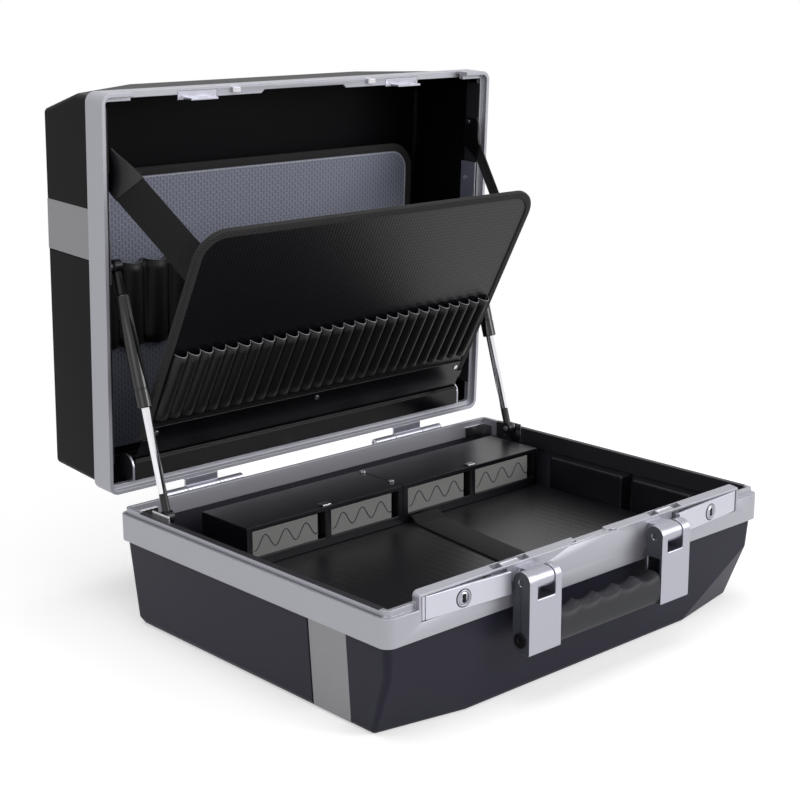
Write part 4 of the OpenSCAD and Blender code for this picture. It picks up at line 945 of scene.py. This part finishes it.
TUBE_FOOT_MM = [(0, 4.2), (0, 6.2), (0.8, 7.0), (17, 7.0), (17.4, 6.6), (18.4, 6.6), (18.8, 6.95)]
for hand in ("left", "right"):
    pivot = np.array(joints["strut_pivot_" + hand]["pos_m"])
    slide = np.array(joints["strut_slide_" + hand]["axis"], float)
    up = -slide
    own = frame["nodes"]["strut_tube_" + hand]
    points = np.array([v.co for v in own.data.vertices])
    along = (points - pivot) @ up
    length = along.max() - along.min()
    ends = [(length / MM - 1.6, 6.95), (length / MM - 0.4, 6.2), (length / MM, 4.5)]
    profile = np.array(TUBE_FOOT_MM + ends) * MM
    mesh = skin(lathe(pivot + up * along.min(), up, profile), True, True)
    mesh.set_sharp_from_angle(angle=math.radians(35))
    finish_piece("tube_" + hand, mesh, "tube_" + hand, [gloss_enamel],
                 ["strut_tube_" + hand])
    print("tube", hand, round(length / MM, 1), "mm")

# %% [markdown]
# ## Locks
#
# Each latch has a key lock: a round rosette in a groove, and inside it a bright plug with a
# keyhole like a figure of eight. The groove and the keyhole are dark pieces of painted shade. The
# rosette belongs to the lever, and the keyhole turns with the plug. All are turned shapes but the
# keyhole, whose outline is a formula of its own. They are drawn on the closed right lever and
# turned to where it stands.

# %% Locks
LEVER_OPEN = math.radians(4.5)
LOCK_X, LOCK_Z = 0.163, RIM - 0.0008
FRONT_Y = -0.1885
KEYHOLE_W, KEYHOLE_H, KEYHOLE_PROUD = 0.0036, 0.0040, 0.00078


def on_lever(points, side):
    """Turns points of a closed right lever about its pivot by the angle it stands open, then
    mirrors them for the left one."""
    pivot = np.array(joints["latch_right_open"]["pos_m"])
    p = np.asarray(points, float) - pivot
    c, s = math.cos(LEVER_OPEN), math.sin(LEVER_OPEN)
    q = np.stack([p[..., 0] * c - p[..., 1] * s, p[..., 0] * s + p[..., 1] * c,
                  p[..., 2]], -1) + pivot
    return q * [side, 1, 1]


def keyhole_rings(steps=64):
    """A prism like a figure of eight: r = 0.42 + 0.58 |sin t|^1.5, times its half width across and
    its half height up."""
    turns = np.linspace(0, 2 * math.pi, steps, endpoint=False)
    r = 0.42 + 0.58 * np.abs(np.sin(turns)) ** 1.5
    ring = np.stack([LOCK_X + KEYHOLE_W * r * np.cos(turns), np.full(steps, FRONT_Y),
                     LOCK_Z + KEYHOLE_H * r * np.sin(turns)], -1)
    return np.stack([ring, ring - [0, KEYHOLE_PROUD, 0]])


# Each profile is a list of length behind the lever's face and radius.
ROSETTE_MM = [(0, 5.7), (-0.5, 5.8), (-0.62, 6.1), (-0.62, 7.0), (-0.45, 7.2)]
RING_MM = [(-0.45, 7.2), (-0.12, 7.35), (-0.12, 8.0), (0.0, 8.1)]
PLUG_MM = [(2.2, 5.5), (-0.1, 5.5), (-0.5, 5.2), (-0.7, 0.05)]


def lock_piece(name, rows, side, capped, body, material, replaces=()):
    finish_piece(name, skin(on_lever(rows, side), True, capped), body, [material], replaces)


def turned_lock(profile_mm, sides):
    return lathe((LOCK_X, FRONT_Y, LOCK_Z), (0, 1, 0), np.array(profile_mm) * MM, sides)


for side, hand in ((-1, "left"), (1, "right")):
    lever, plug = "latch_" + hand, "lock_" + hand
    lock_piece("lock_rosette_" + hand, turned_lock(ROSETTE_MM, 48), side, False, lever,
               cast_aluminium)
    # The groove's ring is painted shade.
    lock_piece("lock_ring_" + hand, turned_lock(RING_MM, 48), side, False, lever,
               groove_shade_and_dark_line)
    lock_piece("lock_face_" + hand, turned_lock(PLUG_MM, 40), side, True, plug,
               cast_aluminium, ["lock_plug_" + hand])
    # The keyhole is a dark piece of painted shade.
    lock_piece("lock_keyhole_" + hand, keyhole_rings(), side, True, plug, groove_shade_and_dark_line)

# %% [markdown]
# ## Waves on the drawers
#
# A thin dark line runs over each drawer's front in three steep waves. It is a fine tube that
# follows a sine across the panel and is sunk half way into it.

# %% Drawer waves
WAVE_PERIOD, WAVE_HEIGHT, WAVE_R = 0.0246, 0.0068, 0.0004
PANEL_W, FIRST_CREST, WAVE_RAISED = 0.079, 0.01501, 0.0005


def drawer_wave(node):
    low, high = (np.array(corner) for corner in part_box(node))
    x = np.linspace(low[0] + 0.002, low[0] + PANEL_W - 0.0005, 160)
    phase = 2 * math.pi * (x - low[0] - FIRST_CREST) / WAVE_PERIOD
    z = (low[2] + high[2]) / 2 + WAVE_RAISED + WAVE_HEIGHT * np.cos(phase)
    path = np.stack([x, np.full_like(x, low[1]), z], 1)
    run = np.gradient(path, axis=0)
    run /= np.linalg.norm(run, axis=1, keepdims=True)
    out = np.tile([0, -1.0, 0], (len(x), 1))
    rows = swept(path, np.cross(run, out), out,
                 rounded_section(2 * WAVE_R, 2 * WAVE_R, WAVE_R * 0.9, 3))
    finish_piece(node + "_wave", skin(rows, True, True), body_of_node(node),
                 [groove_shade_and_dark_line])


for node in ("drawer_1", "drawer_2", "drawer_3", "drawer_4"):
    drawer_wave(node)

# %% [markdown]
# ## Studio
#
# The floor and the background are white to the camera and to reflections, but they light the
# object only at a plain level. Light Path tells the two apart. The floor keeps its shadow: its
# camera side adds a constant to its lit diffuse, so only the shadow falls below white.

# %% Floor
FLOOR_HALF = 6.0
floor_mesh = bpy.data.meshes.new("studio_floor")
floor_corners = [(x * FLOOR_HALF, y * FLOOR_HALF, 0)
                 for x, y in ((-1, -1), (1, -1), (1, 1), (-1, 1))]
floor_mesh.from_pydata(floor_corners, [], [(0, 1, 2, 3)])
floor = bpy.data.objects.new("studio_floor", floor_mesh)
bpy.context.scene.collection.objects.link(floor)
FLOOR_GLOW, SHADOW_REACH, PAPER_FROM = 0.45, 0.45, 1.1


def shows_background(tree):
    """1 for camera, glossy and transmission rays, 0 for the rest."""
    rays = add(tree, "ShaderNodeLightPath").outputs
    first = add(tree, "ShaderNodeMath", {"operation": "MAXIMUM"},
                {0: rays["Is Camera Ray"], 1: rays["Is Glossy Ray"]})
    return add(tree, "ShaderNodeMath", {"operation": "MAXIMUM"},
               {0: first.outputs[0], 1: rays["Is Transmission Ray"]}).outputs[0]


def studio_white():
    """Lit white near the case and plain white paper far from it, where no shadow falls."""
    material = bpy.data.materials.new("studio_white")
    material.use_nodes = True
    tree = material.node_tree
    tree.nodes.clear()
    matt = add(tree, "ShaderNodeBsdfDiffuse", {"Color": linear("#E4E4E4")})
    glow = add(tree, "ShaderNodeEmission", {"Color": linear("#FFFFFF"), "Strength": FLOOR_GLOW})
    lit = add(tree, "ShaderNodeAddShader", {}, {0: matt.outputs[0], 1: glow.outputs[0]})
    paper = add(tree, "ShaderNodeEmission", {"Color": linear("#FFFFFF"), "Strength": 1.0})
    place = add(tree, "ShaderNodeTexCoord").outputs["Object"]
    away = add(tree, "ShaderNodeVectorMath", {"operation": "LENGTH"}, {0: place})
    far = add(tree, "ShaderNodeMapRange",
              {"interpolation_type": "SMOOTHSTEP", 1: SHADOW_REACH, 2: PAPER_FROM},
              {0: away.outputs["Value"]})
    seen = add(tree, "ShaderNodeMixShader", {},
               {0: far.outputs[0], 1: lit.outputs[0], 2: paper.outputs[0]})
    pick = add(tree, "ShaderNodeMixShader", {},
               {0: shows_background(tree), 1: matt.outputs[0], 2: seen.outputs[0]})
    add(tree, "ShaderNodeOutputMaterial", {}, {0: pick.outputs[0]})
    return material


floor_mesh.materials.append(studio_white())

# %% World and lamps
WORLD_LEVEL = 0.36
world = bpy.data.worlds.new("studio")
bpy.context.scene.world = world
world.use_nodes = True
sky = world.node_tree
sky.nodes.clear()
level = add(sky, "ShaderNodeMapRange", {3: WORLD_LEVEL, 4: 1.0}, {0: shows_background(sky)})
paper = add(sky, "ShaderNodeBackground", {"Color": linear("#FFFFFF")},
            {"Strength": level.outputs[0]})
add(sky, "ShaderNodeOutputWorld", {}, {0: paper.outputs[0]})


def softbox(name, place, size, watts):
    """A square area lamp turned to face the middle of the case."""
    lamp = bpy.data.lights.new(name, "AREA")
    lamp.shape, lamp.size, lamp.energy = "SQUARE", size, watts
    box = bpy.data.objects.new(name, lamp)
    box.location = place
    away = np.array(place) - CASE_MIDDLE
    box.rotation_euler = (math.acos(away[2] / np.linalg.norm(away)), 0,
                          math.atan2(away[0], -away[1]))
    bpy.context.scene.collection.objects.link(box)


CASE_MIDDLE = np.array([0, 0, 0.2])
softbox("key", place=(1.7, -2.5, 1.5), size=1.8, watts=58)
softbox("top", place=(-0.4, 0.2, 3.0), size=2.2, watts=38)
softbox("fill", place=(-2.6, -1.2, 1.2), size=1.8, watts=12)

# %% View settings
bpy.context.scene.view_settings.view_transform = "Standard"
